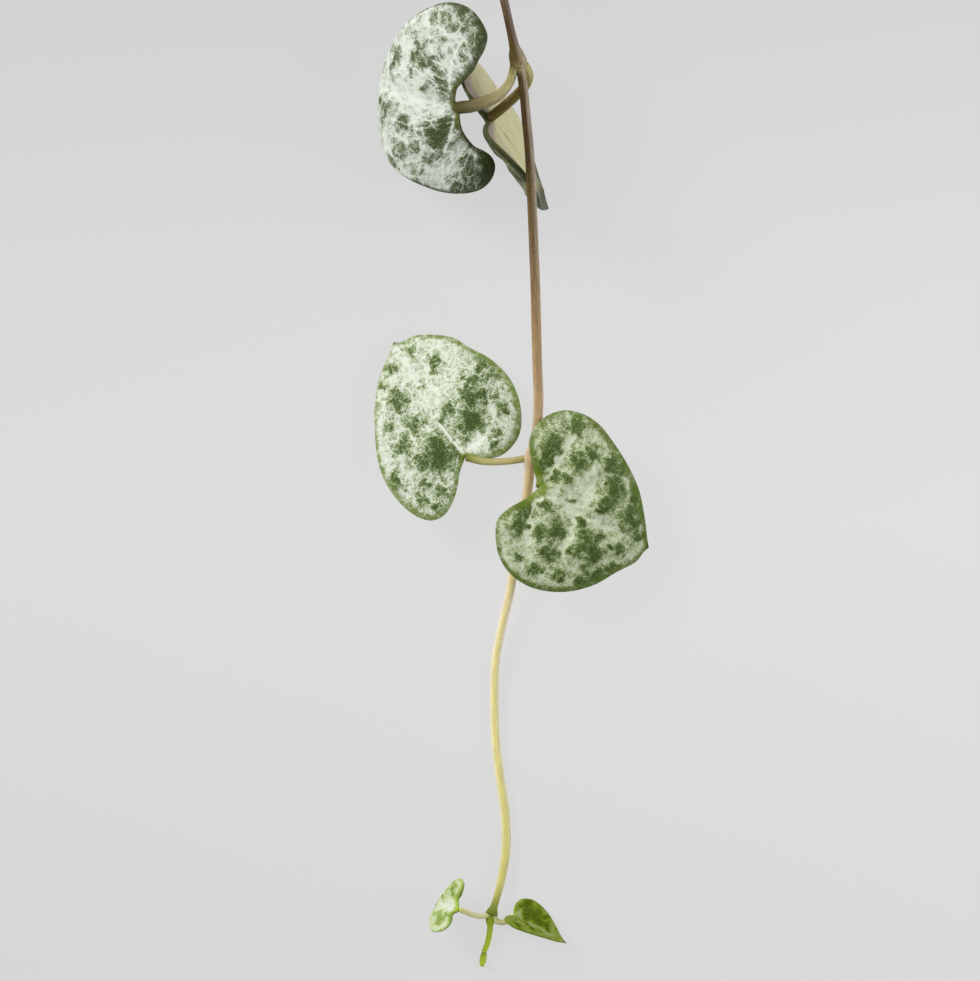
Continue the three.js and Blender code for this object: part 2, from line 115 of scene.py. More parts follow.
def throughStations(stations, steps):
    # smooth curve through the stations, each span weighted by the root of its length,
    # then evenly spaced points along it
    perSpan, shortest = 24, 1e-4
    rows = np.array(stations, float)
    rows = np.vstack([2 * rows[0] - rows[1], rows, 2 * rows[-1] - rows[-2]])
    t = np.arange(perSpan)[:, None] / perSpan
    spans = []
    for p0, p1, p2, p3 in zip(rows, rows[1:], rows[2:], rows[3:]):
        d0, d1, d2 = (max(np.linalg.norm(b - a) ** 0.5, shortest)
                      for a, b in ((p0, p1), (p1, p2), (p2, p3)))
        a = ((p1 - p0) / d0 - (p2 - p0) / (d0 + d1) + (p2 - p1) / d1) * d1
        b = ((p2 - p1) / d1 - (p3 - p1) / (d1 + d2) + (p3 - p2) / d2) * d1
        spans.append(p1 + a * t + (3 * (p2 - p1) - 2 * a - b) * t ** 2
                     + (2 * (p1 - p2) + a + b) * t ** 3)
    dense = np.vstack(spans + [rows[-2]])
    along = lengthAlong(dense[:, :3])
    wanted = np.linspace(0, along[-1], steps + 1)
    return np.stack([np.interp(wanted, along, column) for column in dense.T], -1)


def distanceToLine(u, v, line):
    # shortest way from each point to a line of straight spans; a span without length
    # counts as a point
    best = np.full(np.shape(u), np.inf)
    for (au, av), (bu, bv) in zip(line[:-1], line[1:]):
        du, dv = bu - au, bv - av
        t = np.clip(((u - au) * du + (v - av) * dv) / max(du * du + dv * dv, 1e-12), 0, 1)
        best = np.minimum(best, np.hypot(u - au - t * du, v - av - t * dv))
    return best


def ripple(u, v, size, seed):
    # sum of nine sine waves in every direction, their lengths near size, over the root of nine
    waves = 9
    draws = np.random.default_rng(seed)
    total = np.zeros(np.shape(u))
    for _ in range(waves):
        angle, phase = draws.uniform(0, 2 * math.pi, 2)
        length = size * draws.uniform(0.7, 1.4)
        total += np.sin(2 * math.pi * (u * math.cos(angle) + v * math.sin(angle)) / length + phase)
    return total / math.sqrt(waves)


def smoothStep(x):
    # 0 below 0, 1 above 1, and three x squared less two x cubed between
    x = np.clip(x, 0, 1)
    return x * x * (3 - 2 * x)


def addPiece(name, node, points, faces, faceMaterial, materials, attributes):
    # points in mm in the tables' frame; the piece stands for its CAD node
    mesh = bpy.data.meshes.new(name)
    mesh.from_pydata((points - footprintMiddle) * mm, [], faces)
    mesh.polygons.foreach_set("material_index", np.asarray(faceMaterial, np.int32))
    mesh.polygons.foreach_set("use_smooth", np.ones(len(mesh.polygons), bool))
    for key, values in attributes.items():
        flat = values.ndim == 1
        layer = mesh.attributes.new(key, "FLOAT" if flat else "FLOAT_VECTOR", "POINT")
        layer.data.foreach_set("value" if flat else "vector", values.astype(np.float32).ravel())
    for material in materials:
        mesh.materials.append(material)
    mesh.update()
    piece = bpy.data.objects.new(name, mesh)
    scene.collection.objects.link(piece)
    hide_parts(node)
    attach(piece, "root")
    print("made", name, len(mesh.vertices), "points")


# camera and room

view = {
    "place": (-0.002525, -0.004005, 0.6),  # metres: straight above the origin of the tables
    "lens": 187.16, "sensor": 36,          # mm
}

camera = bpy.data.objects.new("camera", bpy.data.cameras.new("camera"))
camera.location = view["place"]
camera.data.sensor_fit = "VERTICAL"
camera.data.sensor_height = view["sensor"]
camera.data.lens = view["lens"]
camera.data.clip_start = 0.01
scene.collection.objects.link(camera)
scene.camera = camera
scene.view_settings.view_transform = "Standard"

room = {
    "floorSize": 6.0,
    "floorColour": "#555555",
    "floorPaintedLight": 0.64,         # painted light: a glow of its own gives most of its paleness and keeps shadows faint
    "paintedLightEnds": (-0.06, 0.056),   # metres, where the ramp of painted light below starts and ends
    "paintedLightStops": [(0.0, "#f8f8f8"), (0.45, "#ffffff"), (0.7, "#fbfbfb"), (1.0, "#f0f0f0")],
    "paintedLightSlope": 0.5,          # painted light: how much brighter a metre further right
    "sky": ("#f4f7fa", 0.4),
    "lights": [                # place, size in metres, power, colour
        ("keyLight", (-0.5, 0.36, 0.42), 0.34, 4.1, "#fffdf8"),
        ("fillLight", (0.6, 0.05, 0.4), 0.5, 1.8, "#fbfbff"),
    ],
}

half = room["floorSize"] / 2
floorMesh = bpy.data.meshes.new("floor")
floorMesh.from_pydata([(-half, -half, 0), (half, -half, 0), (half, half, 0), (-half, half, 0)],
                      [], [(0, 1, 2, 3)])
floor = bpy.data.objects.new("floor", floorMesh)
scene.collection.objects.link(floor)

# matt card: pale, with fibres of about 1 mm, lit by a glow of painted light
# the painted light lifts the shadows on it; brightest a little below the middle, dimmest at the
# top, brighter to the right
cardMaterial, add = startMaterial("paleMattCardPaintedLight")
place = add("TexCoord").outputs["Object"]
fibre = add("TexNoise", {"Vector": place, "Scale": 900.0})
across = add("SeparateXYZ", [place])
falloff = add("MapRange", (across.outputs["Y"], *room["paintedLightEnds"]))
paintedLight = add("ValToRGB", [falloff], room["paintedLightStops"])
slope = addProducts(add, 1.01, [(across.outputs["X"], room["paintedLightSlope"])])
paintedLight = add("VectorMath", {0: paintedLight, "Scale": slope}, operation="SCALE")
finishMaterial(add, linear(room["floorColour"]), fibre, 0.00002, {
    "Roughness": 0.9, "Specular IOR Level": 0.1,
    "Emission Color": paintedLight, "Emission Strength": room["floorPaintedLight"]})
floorMesh.materials.append(cardMaterial)

world = bpy.data.worlds.new("world")
world.use_nodes = True
skyColour, skyStrength = world.node_tree.nodes["Background"].inputs[:2]
skyColour.default_value = linear(room["sky"][0])
skyStrength.default_value = room["sky"][1]
scene.world = world

for name, spot, size, power, colour in room["lights"]:
    light = bpy.data.lights.new(name, "AREA")
    light.shape = "DISK"
    light.size = size
    light.energy = power
    light.color = linear(colour)[:3]
    lamp = bpy.data.objects.new(name, light)
    lamp.location = spot
    x, y, z = spot
    # the light looks at the middle of the object: tilt from straight down, then turn
    lamp.rotation_euler = (math.atan2(math.hypot(x, y), z), 0, math.atan2(y, x) + math.pi / 2)
    lamp.visible_camera = False
    scene.collection.objects.link(lamp)
print("camera and room made")


# leaf skins

# watery flesh under both skins, which lets a little light through
leafFlesh = {"IOR": 1.42, "Subsurface Weight": 0.12, "Subsurface Scale": 0.0006}


def leafUpperMaterial(name, look):
    # living waxy leaf skin: silver where air lies under the skin, green where it doesn't,
    # with a feathered edge between the two and a satin gloss
    material, add = startMaterial(name)
    plan, streak = (add("Attribute", attribute_name=key).outputs["Vector"]
                    for key in ("plan", "streak"))
    mark, rim, vein, notch, tip = (add("Attribute", attribute_name=key).outputs["Fac"]
                                   for key in ("mark", "rim", "vein", "notch", "tip"))
    # plan coordinates are in mm, so a scale is one over the size of the feature
    field, feather, speck, grain = (
        add("TexNoise", {"Vector": grid, "Scale": 1 / size, "Detail": detail,
                         "Roughness": 0.65, "Distortion": twist})
        for grid, size, detail, twist in (
            (plan, 3.2, 2.0, 0.4),       # slow changes over the blade
            (streak, 0.9, 5.0, 0.4),     # feathers at the edge of a blotch
            (streak, 0.4, 3.0, 0.2),     # specks
            (plan, 0.18, 2.0, 0.0)))     # single skin cells
    # how far inside a blotch: its edge is frayed by noise, and pale lines cut through it
    inside = addProducts(add, -0.5 * sum(look["fray"]), zip(
        (mark, rim, vein, field, feather, speck),
        (1.0, look["rimGreen"], -look["vein"], *look["fray"])))
    # each row maps a value from one range to another: low, high, then what they become
    cover, deep, stipple, hold = (add("MapRange", row) for row in (
        (inside, -0.3, 1.1, -0.3 * look["green"], 1.1 * look["green"]),  # green of a blotch
        (mark, 1.0, 1.7, 0.0, 0.18),                                     # more in its middle
        (inside, 0.0, 0.8, 0.75 * look["stipple"], look["stipple"]),
        (mark, 1.2, 1.7, -1.0, -0.25)))  # how far the nets lighten, least in the deepest green
    # green share: blotches less the pale lines, stippled by single skin cells
    cells = add("Math", (grain, 0.5), operation="SUBTRACT")
    total = addProducts(add, cover, (
        (deep, 1.0), (vein, -0.12), (cells, stipple), (look["offset"], 1.0)))
    # pale nets along the walls of wandering cells
    sway = add("TexNoise", {"Vector": plan, "Scale": 1.4, "Detail": 3.0})
    bent = add("VectorMath", {0: sway.outputs["Color"], "Scale": 0.8}, operation="SCALE")
    shifted = add("VectorMath", (streak, bent), operation="ADD")
    for size, width, depth in look["nets"]:
        cell = add("TexVoronoi", {"Vector": shifted, "Scale": 1 / size},
                   feature="DISTANCE_TO_EDGE")
        net = add("MapRange", (cell, 0.0, width / size, depth, 0.0),
                  interpolation_type="SMOOTHSTEP")
        total = addProducts(add, total, [(net, hold)])
    colour = add("ValToRGB", [total], look["stops"])
    # margin: a warmer green, brighter toward the notch
    band = addProducts(add, rim, ((feather, 1.1), (speck, 0.9)))
    bandMask = add("MapRange", (band, 1.25, 2.15, 0.0, look["rimTint"]),
                   interpolation_type="SMOOTHSTEP")
    bandColour = layColours(add, linear(look["rim"]), [(notch, linear(look["notch"]))])
    colour = layColours(add, colour, [(bandMask, bandColour)])
    # fine grain of single skin cells, and the brown point at the tip
    colour = shadeBy(add, colour, grain)
    colour = layColours(add, colour, [(tip, linear("#4a3a20"))])
    # green cells stand a little proud of the silver lines between them
    proud = add("Clamp", (total, 0.0, 0.8))
    finishMaterial(add, colour, addProducts(add, grain, [(proud, 0.6)]), 0.00007, {
        **leafFlesh, "Roughness": look["roughness"], "Specular IOR Level": 0.18,
        "Subsurface Radius": (0.4, 0.6, 0.2)})
    return material


def leafUnderMaterial(name, look):
    # the underside has no silver: even pale green, washed with purple toward the margin
    material, add = startMaterial(name)
    plan = add("Attribute", attribute_name="plan").outputs["Vector"]
    edge, vein, blush = (add("Attribute", attribute_name=key).outputs["Fac"]
                         for key in ("edge", "vein", "blush"))
    cloud, grain = (add("TexNoise", {"Vector": plan, "Scale": 1 / size, "Detail": 3.0})
                    for size in (1.6, 0.16))
    colour = add("ValToRGB", [cloud], zip((0.3, 0.7), look["base"]))
    wash = addProducts(add, blush, [(cloud, 0.5)])
    washMask, rimMask = (add("MapRange", row, interpolation_type="SMOOTHSTEP")
                         for row in ((wash, 0.4, 1.15, 0.0, 1.0), (edge, 0.3, 1.0, 1.0, 0.0)))
    veinShade = add("Math", (vein, 0.35), operation="MULTIPLY")
    colour = layColours(add, colour, ((washMask, linear(look["blush"])),
                                      (veinShade, linear(look["vein"])),
                                      (rimMask, linear(look["rim"]))))
    finishMaterial(add, shadeBy(add, colour, grain), grain, 0.00004, {
        **leafFlesh, "Roughness": 0.5, "Specular IOR Level": 0.25,
        "Subsurface Radius": (0.5, 0.6, 0.25)})
    return material


upperLooks = {
    # stops: from silver to the deepest green. offset: how green the silver is.
    # green: how much greener a blotch is. rim, notch: colours of the margin.
    # rimGreen, rimTint: how green and how coloured the margin is. vein: how pale the lines are.
    # fray: weights of the 3, 0.9 and 0.4 mm noises that fray the blotches. stipple: of the cells.
    # nets: cell size, line width in mm and strength.
    "mottledSkinUpper": {
        "stops": [
            (0, "#e0e7dc"), (0.2, "#cfd7ca"), (0.35, "#b5bfad"), (0.48, "#939e88"),
            (0.6, "#73805f"), (0.78, "#525f3e"), (1, "#434c28")],
        "offset": 0.35, "green": 0.45, "rim": "#474e28", "notch": "#74752e", "rimGreen": 0.7,
        "rimTint": 0.85, "fray": (0.6, 1.8, 1.4), "stipple": 1.3, "vein": 0.5, "roughness": 0.45,
        "nets": [(1.1, 0.17, 0.3), (0.5, 0.1, 0.22)]},
    "mottledSkinUpperRightShaded": {
        # over its own mottling
        # painted shade: this face is turned from the light, so its stops, margin and notch are
        # darker,
        "stops": [
            (0, "#b9c1a6"), (0.25, "#9da581"), (0.45, "#737c54"), (0.6, "#525932"),
            (0.8, "#3c4220"), (1, "#343a1a")],
        "offset": 0.46, "green": 0.4, "rim": "#363c18", "notch": "#5c5e2c", "rimGreen": 0.7,
        "rimTint": 0.85, "fray": (0.4, 1.4, 1), "stipple": 1, "vein": 0.4, "roughness": 0.5,
        "nets": [(0.8, 0.12, 0.2)]},
    "mottledSkinMiddleLeft": {
        "stops": [
            (0, "#ecf2e2"), (0.2, "#d8e0ca"), (0.35, "#bac6a5"), (0.48, "#98a87b"),
            (0.6, "#768957"), (0.78, "#536634"), (1, "#3e5020")],
        "offset": 0.3, "green": 0.38, "rim": "#7a9038", "notch": "#8fa024", "rimGreen": 0.5,
        "rimTint": 0.8, "fray": (0.8, 2.1, 1.7), "stipple": 1.4, "vein": 0.5, "roughness": 0.45,
        "nets": [(1.1, 0.18, 0.24), (0.5, 0.1, 0.14)]},
    "mottledSkinMiddleRight": {
        "stops": [
            (0, "#dbe4c8"), (0.2, "#c9d3b1"), (0.35, "#aebb8e"), (0.48, "#8c9d6a"),
            (0.6, "#6f824b"), (0.78, "#51652f"), (1, "#3d4f1a")],
        "offset": 0.29, "green": 0.48, "rim": "#5f7420", "notch": "#789008", "rimGreen": 0.5,
        "rimTint": 0.85, "fray": (0.7, 1.8, 1.3), "stipple": 1.25, "vein": 0.6,
        "roughness": 0.45, "nets": [(1.2, 0.18, 0.18), (0.55, 0.1, 0.08)]},
    "youngSkinLeft": {
        "stops": [
            (0, "#e0e8d6"), (0.25, "#cedbaf"), (0.45, "#b0c37c"), (0.65, "#8ca54c"),
            (0.9, "#6f8a34")],
        "offset": 0.26, "green": 0.42, "rim": "#a6c23c", "notch": "#b8d21e", "rimGreen": 0.4,
        "rimTint": 0.8, "fray": (0.3, 1.6, 1.6), "stipple": 1, "vein": 0.6, "roughness": 0.42,
        "nets": []},
    "youngSkinRight": {
        "stops": [(0, "#a3af7c"), (0.3, "#7f9026"), (0.5, "#66780a"), (0.8, "#4a5c00")],
        "offset": 0.26, "green": 0.45, "rim": "#76940a", "notch": "#97b60c", "rimGreen": 0.2,
        "rimTint": 0.75, "fray": (0.3, 1.2, 1), "stipple": 0.9, "vein": 0.45, "roughness": 0.42,
        "nets": []},
}
underLooks = {
    "paleSkinUnder": {
        "base": ("#d2cc98", "#dcd7aa"), "blush": "#ab9b90", "vein": "#a9a873", "rim": "#4b4f2c"},
    "youngSkinUnder": {
        "base": ("#b5c27a", "#c6cf92"), "blush": "#a8a878", "vein": "#96a65a", "rim": "#7f9a3a"},
}
skins = {name: leafUpperMaterial(name, look) for name, look in upperLooks.items()}
skins.update({name: leafUnderMaterial(name, look) for name, look in underLooks.items()})
print("leaf skins made")


# leaves

blade = {
    # what all leaves share, in mm on a blade of that thickness
    "thick": 1.1,
    "raised": 0.15, "sunk": 0.08,            # blotches and pale lines
    "pucker": ((0.022, 0.9), (0.009, 0.4)),  # height and wave length
    "valley": 0.22,                          # depth of the veins
    "rib": 0.07, "ribWidth": 0.3,            # veins of the underside
    "calmRim": 0.9,                          # the relief fades out this far from the margin
    "wander": 0.28, "wanderWave": 1.5,       # how far outlines of blotches stray
    "deepest": 1.8,                          # mark of skin without silver
    "straight": 0.18,                        # pale lines thinner than this run straight
    "tipSpot": 0.35,                         # radius of the brown point
    "tipThin": 0.7, "tipReach": 1.6,         # share the tip is thinner by, and over how many
                                             # thicknesses
    "ringPower": 1.6,                        # crowds the rings toward the margin
    "bow": (0.3, 0.45),                      # how far the rays swing round the notch
    "press": 0.4,                            # presses grains into streaks
}
nearlyFlat = 1e-6  # curvature that stands for none


def strongestLine(u, v, lines, width):
    # 1 on a line, falling off as a bell of that width; the nearest line counts
    return np.max([np.exp(-(distanceToLine(u, v, line) / width) ** 2) for line in lines], axis=0)


def placeOnLeaf(leaf, u, v, h):
    # bent across, folded along the midrib, bent along, then turned into place
    bends = [bend or nearlyFlat for bend in leaf["bend"]]
    side = np.where(v > 0, bends[3], bends[2])
    fold = math.radians(leaf["fold"])
    ridge = np.hypot(v, 0.5) - 0.5
    across = (1 / side - h) * np.sin(side * v) - np.sign(v) * ridge * (1 - math.cos(fold))
    lift = 1 / side - (1 / side - h) * np.cos(side * v) + ridge * math.sin(fold)
    spin = leaf["twist"] * u
    y = across * np.cos(spin) - lift * np.sin(spin)
    z = across * np.sin(spin) + lift * np.cos(spin)
    bend = np.where(u > 0, bends[0], bends[1])
    x = (1 / bend - z) * np.sin(bend * u)
    up = 1 / bend - (1 / bend - z) * np.cos(bend * u)
    heading, dip, roll = np.radians(leaf["turn"])
    ahead = np.array([np.cos(heading) * np.cos(dip), np.sin(heading) * np.cos(dip), -np.sin(dip)])
    level = np.array([-np.sin(heading), np.cos(heading), 0])
    toLeft = level * np.cos(roll) + np.cross(ahead, level) * np.sin(roll)
    normal = np.cross(ahead, toLeft)
    return (np.array(leaf["at"]) + x[..., None] * ahead + y[..., None] * toLeft
            + up[..., None] * normal)


def softMarks(marks, u, v, power):
    # each blotch is 1 in its middle and a half at its radius, as 0.69 is the logarithm of 2;
    # near ones run together
    total = np.full(np.shape(u), 1e-9)
    for mu, mv, radius, *depth in marks:
        here = np.exp(-0.69 * (np.hypot(u - mu, v - mv) / radius) ** 3)
        total += ((depth or [1])[0] * here) ** power
    return total ** (1 / power)


def allRound(left, right):
    # the left half of the margin from notch to tip, then the right half back
    return np.concatenate([left, right[1:-1][::-1]])


def makeLeaf(node, ownTable):
    # grid of rays from the hub to the margin, on an upper and a lower sheet that share the rim
    leaf = {**plainLeaf, **ownTable}
    (aroundHalf, rings), hub, seed = leaf["grid"], leaf["hub"], leaf["seed"]
    size = leaf["thick"] / blade["thick"]
    margin = allRound(throughStations(leaf["left"], aroundHalf),
                      throughStations(leaf["right"], aroundHalf) * [1, -1])
    count = len(margin)
    r = 1 - (1 - np.linspace(0, 1, rings + 1)[1:, None]) ** blade["ringPower"]
    bow = 2 * r * (1 - r) * np.maximum(-margin[:, 0], 0)
    u = hub + (margin[:, 0] - hub) * r + blade["bow"][0] * bow
    v = margin[:, 1] * r + blade["bow"][1] * bow * np.sign(margin[:, 1])
    u = np.r_[hub, u.ravel()]
    v = np.r_[0, v.ravel()]
    # half the thickness: it closes in a round at the margin, and the blade thins to its tip
    half = leaf["thick"] / 2 * np.sqrt(1 - np.r_[0, np.repeat(r.ravel(), count)] ** 9)
    toTip = np.hypot(u - margin[aroundHalf, 0], v)
    half *= 1 - blade["tipThin"] * np.exp(-(toTip / (blade["tipReach"] * leaf["thick"])) ** 2)
    edge = distanceToLine(u, v, np.vstack([margin, margin[:1]]))

    # wandering plan coordinates give the blotches their uneven outlines
    wander = blade["wander"] * size
    bentU = u + wander * ripple(u, v, blade["wanderWave"], seed)
    bentV = v + wander * ripple(u, v, blade["wanderWave"], seed + 1)
    mark = softMarks([(mu, mv, leaf["spread"] * radius, *depth)
                      for mu, mv, radius, *depth in leaf["marks"]], bentU, bentV, 3)
    # a thin green veil spreads round each blotch, twice as far: a tint with painted shade of its
    # slopes
    mark += leaf["veilAndShade"] * np.minimum(
        softMarks([(mu, mv, 2 * radius) for mu, mv, radius, *depth in leaf["marks"]],
                  bentU, bentV, 2), 1)
    mark = np.maximum(mark, blade["deepest"] * softMarks(leaf["plain"], bentU, bentV, 3))
    silver = np.zeros(len(u))
    for width, strength, line in leaf["silver"]:
        grid = (u, v) if width < blade["straight"] else (bentU, bentV)
        silver = np.maximum(silver, strength * strongestLine(*grid, [line], width))

    def alongMargin(sides, column):
        # a column of the tables of the left and right margin, read at every ray
        share = np.linspace(0, 1, aroundHalf + 1)
        halves = [np.interp(share, [row[0] for row in side], [row[column] for row in side])
                  for side in sides]
        return np.r_[1.0, np.tile(allRound(*halves), rings)]

    # the green margin is full over 0.3 of its width and gone at 1.3
    rim = alongMargin(leaf["band"], 2) * smoothStep(1.3 - edge / alongMargin(leaf["band"], 1))
    notch = np.exp(-(np.hypot(u - margin[0, 0], v) / leaf["notchReach"]) ** 2)
    tip = np.exp(-(toTip / blade["tipSpot"]) ** 2)
    # the purple wash lies near the margin, behind the notch, and leaves out the far lobes
    blush = (leaf["blush"] * np.clip(1.3 - edge / 1.6, 0, 1) * smoothStep((2 - u) / 3)
             * smoothStep((7.5 - np.abs(v)) / 2))

    # streaks fan out from a point behind the notch: the angle across them, true to size
    # 3 mm past the notch, and the way along pressed, so each grain becomes a streak
    fan, ray = leaf["fan"], (u, v)
    if fan:
        ray = (fan + 3) * np.arctan2(v, u + fan), blade["press"] * np.hypot(u + fan, v)

    # raised blotches, sunken pale lines and a fine pucker, fading out at the margin
    calm = smoothStep(edge / blade["calmRim"]) * size
    pucker = (blade["raised"] * softMarks(leaf["marks"], u, v, 2)
              - blade["sunk"] * np.minimum(silver, 1))
    for i, (rise, wave) in enumerate(blade["pucker"]):
        pucker += rise * ripple(u, v, wave, seed + 2 + i)
    # domed bulges less a valley along each vein
    middle = np.zeros(len(u))
    for bu, bv, radius, rise in leaf["bulges"]:
        middle += rise * np.exp(-((u - bu) ** 2 + (v - bv) ** 2) / radius ** 2)
    middle -= blade["valley"] * size * strongestLine(u, v, leaf["veins"], size)
    rib = strongestLine(u, v, leaf["veins"], blade["ribWidth"])
    top = placeOnLeaf(leaf, u, v, middle + half + calm * pucker)
    bottom = placeOnLeaf(leaf, u, v, middle - half - blade["rib"] * calm * rib)

    rimStart = 1 + (rings - 1) * count  # the rim row belongs to the upper sheet
    i = np.arange(count)
    after = (i + 1) % count
    inner = (1 + count * np.arange(rings - 1))[:, None]
    faces = []
    for shift in (0, len(top)):
        outer = inner + count + shift
        outer[-1] = rimStart
        quads = np.stack([inner + shift + i, inner + shift + after, outer + after, outer + i], -1)
        inmost = np.stack([np.full(count, shift), 1 + shift + after, 1 + shift + i], -1)
        if shift:  # the lower sheet faces the other way
            quads, inmost = quads[..., ::-1], inmost[:, ::-1]
        faces += quads.reshape(-1, 4).tolist() + inmost.tolist()

    sheets = np.r_[0:len(top), 0:rimStart]  # place on the grid of each point of both sheets
    layer = np.r_[np.zeros(len(top)), np.full(rimStart, 9.0)] + seed  # keeps their noise apart
    attributes = {key: np.stack([one[sheets], other[sheets], layer], -1)
                  for key, (one, other) in (("plan", (u, v)), ("streak", ray))}
    attributes.update({key: values[sheets] for key, values in (
        ("mark", mark), ("rim", rim), ("vein", silver), ("notch", notch), ("tip", tip),
        ("edge", edge / alongMargin(leaf["greenUnder"], 1)), ("blush", blush))})
    attributes["vein"][len(top):] = rib[:rimStart]
    name, slot, *faceSkins = leaf["piece"]
    addPiece(name, node, np.vstack([top, bottom[:rimStart]]), faces,
             np.repeat([0, 1], len(faces) // 2), [skins[skin] for skin in faceSkins], attributes)


# A leaf is written flat in mm, u from the petiole to the tip and v to its left.
# piece: its name, its slot, and the skins of its two faces.
# grid: points along each half of the margin, and rings. seed: of its random waves.
# left, right: margin stations from the notch to the tip, v counted outward.
# hub: where the rays of the grid start. thick: of the blade in its middle.
# at: the notch. turn: heading, dip and roll in degrees. twist: radians per mm. fold: degrees.
# bend: curvature per mm toward the tip, behind the notch, to the right and to the left.
# bulges: middle, radius, height. veins: lines that lie sunken between them.
# marks: green blotches, middle, radius and how green. plain: skin with no silver at all.
# spread: how much wider the blotches are painted. veil and shade: how green the skin
# round them is, as a tint and as painted shade of their slopes.
# silver: pale lines, width and strength first.
# band: green margin, left then right: share of the way from notch to tip, width, strength.
# notchReach: how far the notch's own green reaches. blush: purple wash of the underside.
# fan: how far behind the notch the streaks start, 0 for none.
# greenUnder: green rim of the underside, left then right: share of the way, width.

plainLeaf = {
    # what a leaf has unless its own table says otherwise
    "grid": (190, 64), "twist": 0, "fold": 0, "bulges": [], "plain": [], "blush": 0.5, "fan": 0,
    "veilAndShade": 0, "spread": 1.15, "greenUnder": ([(0, 0.26)], [(0, 0.26)]),
}
upperLeftLeaf = {
    "piece": ("upperLeftLeaf", "leaf", "mottledSkinUpper", "paleSkinUnder"), "seed": 11,
    "left": [
        (0, 0), (-0.35, 0.56), (-0.58, 1.39), (-1.05, 2.49), (-1.95, 3.53), (-2.97, 4.28),
        (-4.09, 4.59), (-4.98, 5.09), (-5.65, 5.96), (-5.85, 7.03), (-5.56, 8.19), (-4.64, 9.26),
        (-3.22, 9.92), (-1.53, 10.29), (0.96, 10.43), (3.25, 10.24), (5.6, 9.92), (8.14, 9.35),
        (10.5, 8.4), (12.6, 6.9), (14.6, 4.8), (15.8, 2.5), (16.8, 0)],
    "right": [
        (0, 0), (0.35, 0.7), (0.4, 1.4), (0.3, 2.26), (-0.4, 3.27), (-1.23, 4.57), (-1.62, 5.8),
        (-2.05, 6.88), (-2.26, 7.94), (-2.19, 8.81), (-1.7, 9.62), (-0.8, 10.52), (0.54, 11.38),
        (2.21, 11.79), (4.07, 11.76), (5.69, 11.36), (7.06, 10.71), (8.68, 9.8), (10.39, 8.56),
        (12.33, 6.84), (14.22, 4.5), (15.8, 2.1), (16.8, 0)],
    "hub": 2.6, "thick": 1.15, "at": (-3.81, 44.15, 12.08), "turn": (168.3, 11.46, -12.3),
    "bend": (-0.087, -0.103, -0.031, -0.031),
    "bulges": [
        (3.2, 4.2, 2.4, 0.35), (4.4, -3.6, 2.6, 0.35), (3, -8, 2.2, 0.3), (0.5, 7.6, 2, 0.25)],
    "veins": [[(0, 0), (6, -0.4), (12, 0)], [(0, 0), (1.2, 3.5), (1, 7.5)]],
    "plain": [
        (-5.2, 6.6, 1.3), (-4.8, 8, 1), (-4.4, 5.6, 0.8), (-1.7, -7.6, 0.5), (-1.7, -8.8, 0.6),
        (-1.2, -10, 0.6)],
    "marks": [
        (-3.6, 7, 1.3), (-3.4, 8.8, 0.8), (-2.6, 7.5, 1.1), (-2.1, 8.9, 0.8), (-1.1, 8.8, 0.8),
        (-2, 6, 0.8), (0.9, 2, 0.9, 1.5), (0.9, 3.6, 1.1, 1.4), (2, 3.4, 1.2, 1.3),
        (1.3, 4.9, 0.9, 1.2), (2.7, 6.2, 0.9), (4.5, 5.6, 0.8), (4.4, 3.6, 0.6), (6.8, 6.6, 1.1),
        (7.3, 5.3, 0.6), (6.6, 2.9, 0.7), (7.8, 3.6, 0.5), (8.5, 8.2, 0.8), (4.2, 8.6, 0.7),
        (10.2, 2, 0.8), (10.8, 3.6, 0.6), (12.3, 1.6, 0.5), (1.9, -1.8, 0.8), (2.6, -3.3, 0.8),
        (4.2, -1.2, 0.5, 1.2), (6.3, -2.6, 0.4), (4.4, -4.6, 1), (6.2, -5.2, 1),
        (5.3, -5.9, 0.8), (3.6, -5.3, 0.6), (0.6, -6.2, 0.8), (2.8, -7.4, 0.5), (9.6, -4.1, 0.9),
        (9, -1.6, 0.4), (10.3, -2.5, 0.6), (8, -7.2, 0.5, 0.6), (0.4, -9.6, 0.9, 1.1),
        (1.8, -10.8, 0.8), (4.6, -9.6, 1.2, 0.7), (2, -8.9, 0.6), (-1.4, -7.4, 0.9, 1.3),
        (-1.4, -8.8, 1, 1.3), (-0.6, -9.8, 0.9, 1.2)],
    "silver": [
        (0.6, 0.8, [(1.5, 0), (4, -0.2), (8, 0), (13, 0.2)]),
        (0.17, 1.7, [(0, 0), (0.15, 2), (0.25, 3.8), (0.7, 5.2)]),
        (0.13, 1, [(-0.1, 0.3), (-0.6, 2), (-1.3, 3.4), (-2.2, 4.4), (-3, 5.2)]),
        (0.17, 1.3, [(0, 0), (1.3, -2.7), (1.6, -5), (0.8, -7.5)]),
        (0.17, 0.9, [(2.2, -1.6), (3.4, -3.2), (4.2, -3.6)]),
        (0.2, 0.8, [(0, 0), (3, 1.2), (5, 2.2)]),
        (0.15, 0.9, [(3.6, 3), (2.8, 4.6), (1.6, 5.6)]),
        (0.3, 1, [(11, 5), (9.6, 6.6), (7.4, 7.8), (6, 7.4)])],
    "band": (
        [(0, 0.75, 1.3), (0.1, 0.6, 1.1), (0.2, 0.7, 1), (0.35, 0.8, 1), (0.5, 0.6, 0.95),
         (0.7, 0.4, 0.9), (1, 0.3, 0.7)],
        [(0, 0.75, 1.3), (0.12, 0.6, 1.1), (0.2, 1.1, 1), (0.35, 1.2, 1), (0.5, 0.6, 0.9),
         (0.7, 0.4, 0.8), (1, 0.3, 0.7)]),
    "notchReach": 2.6, "fan": 4,
}
makeLeaf("leaf_upper_left", upperLeftLeaf)

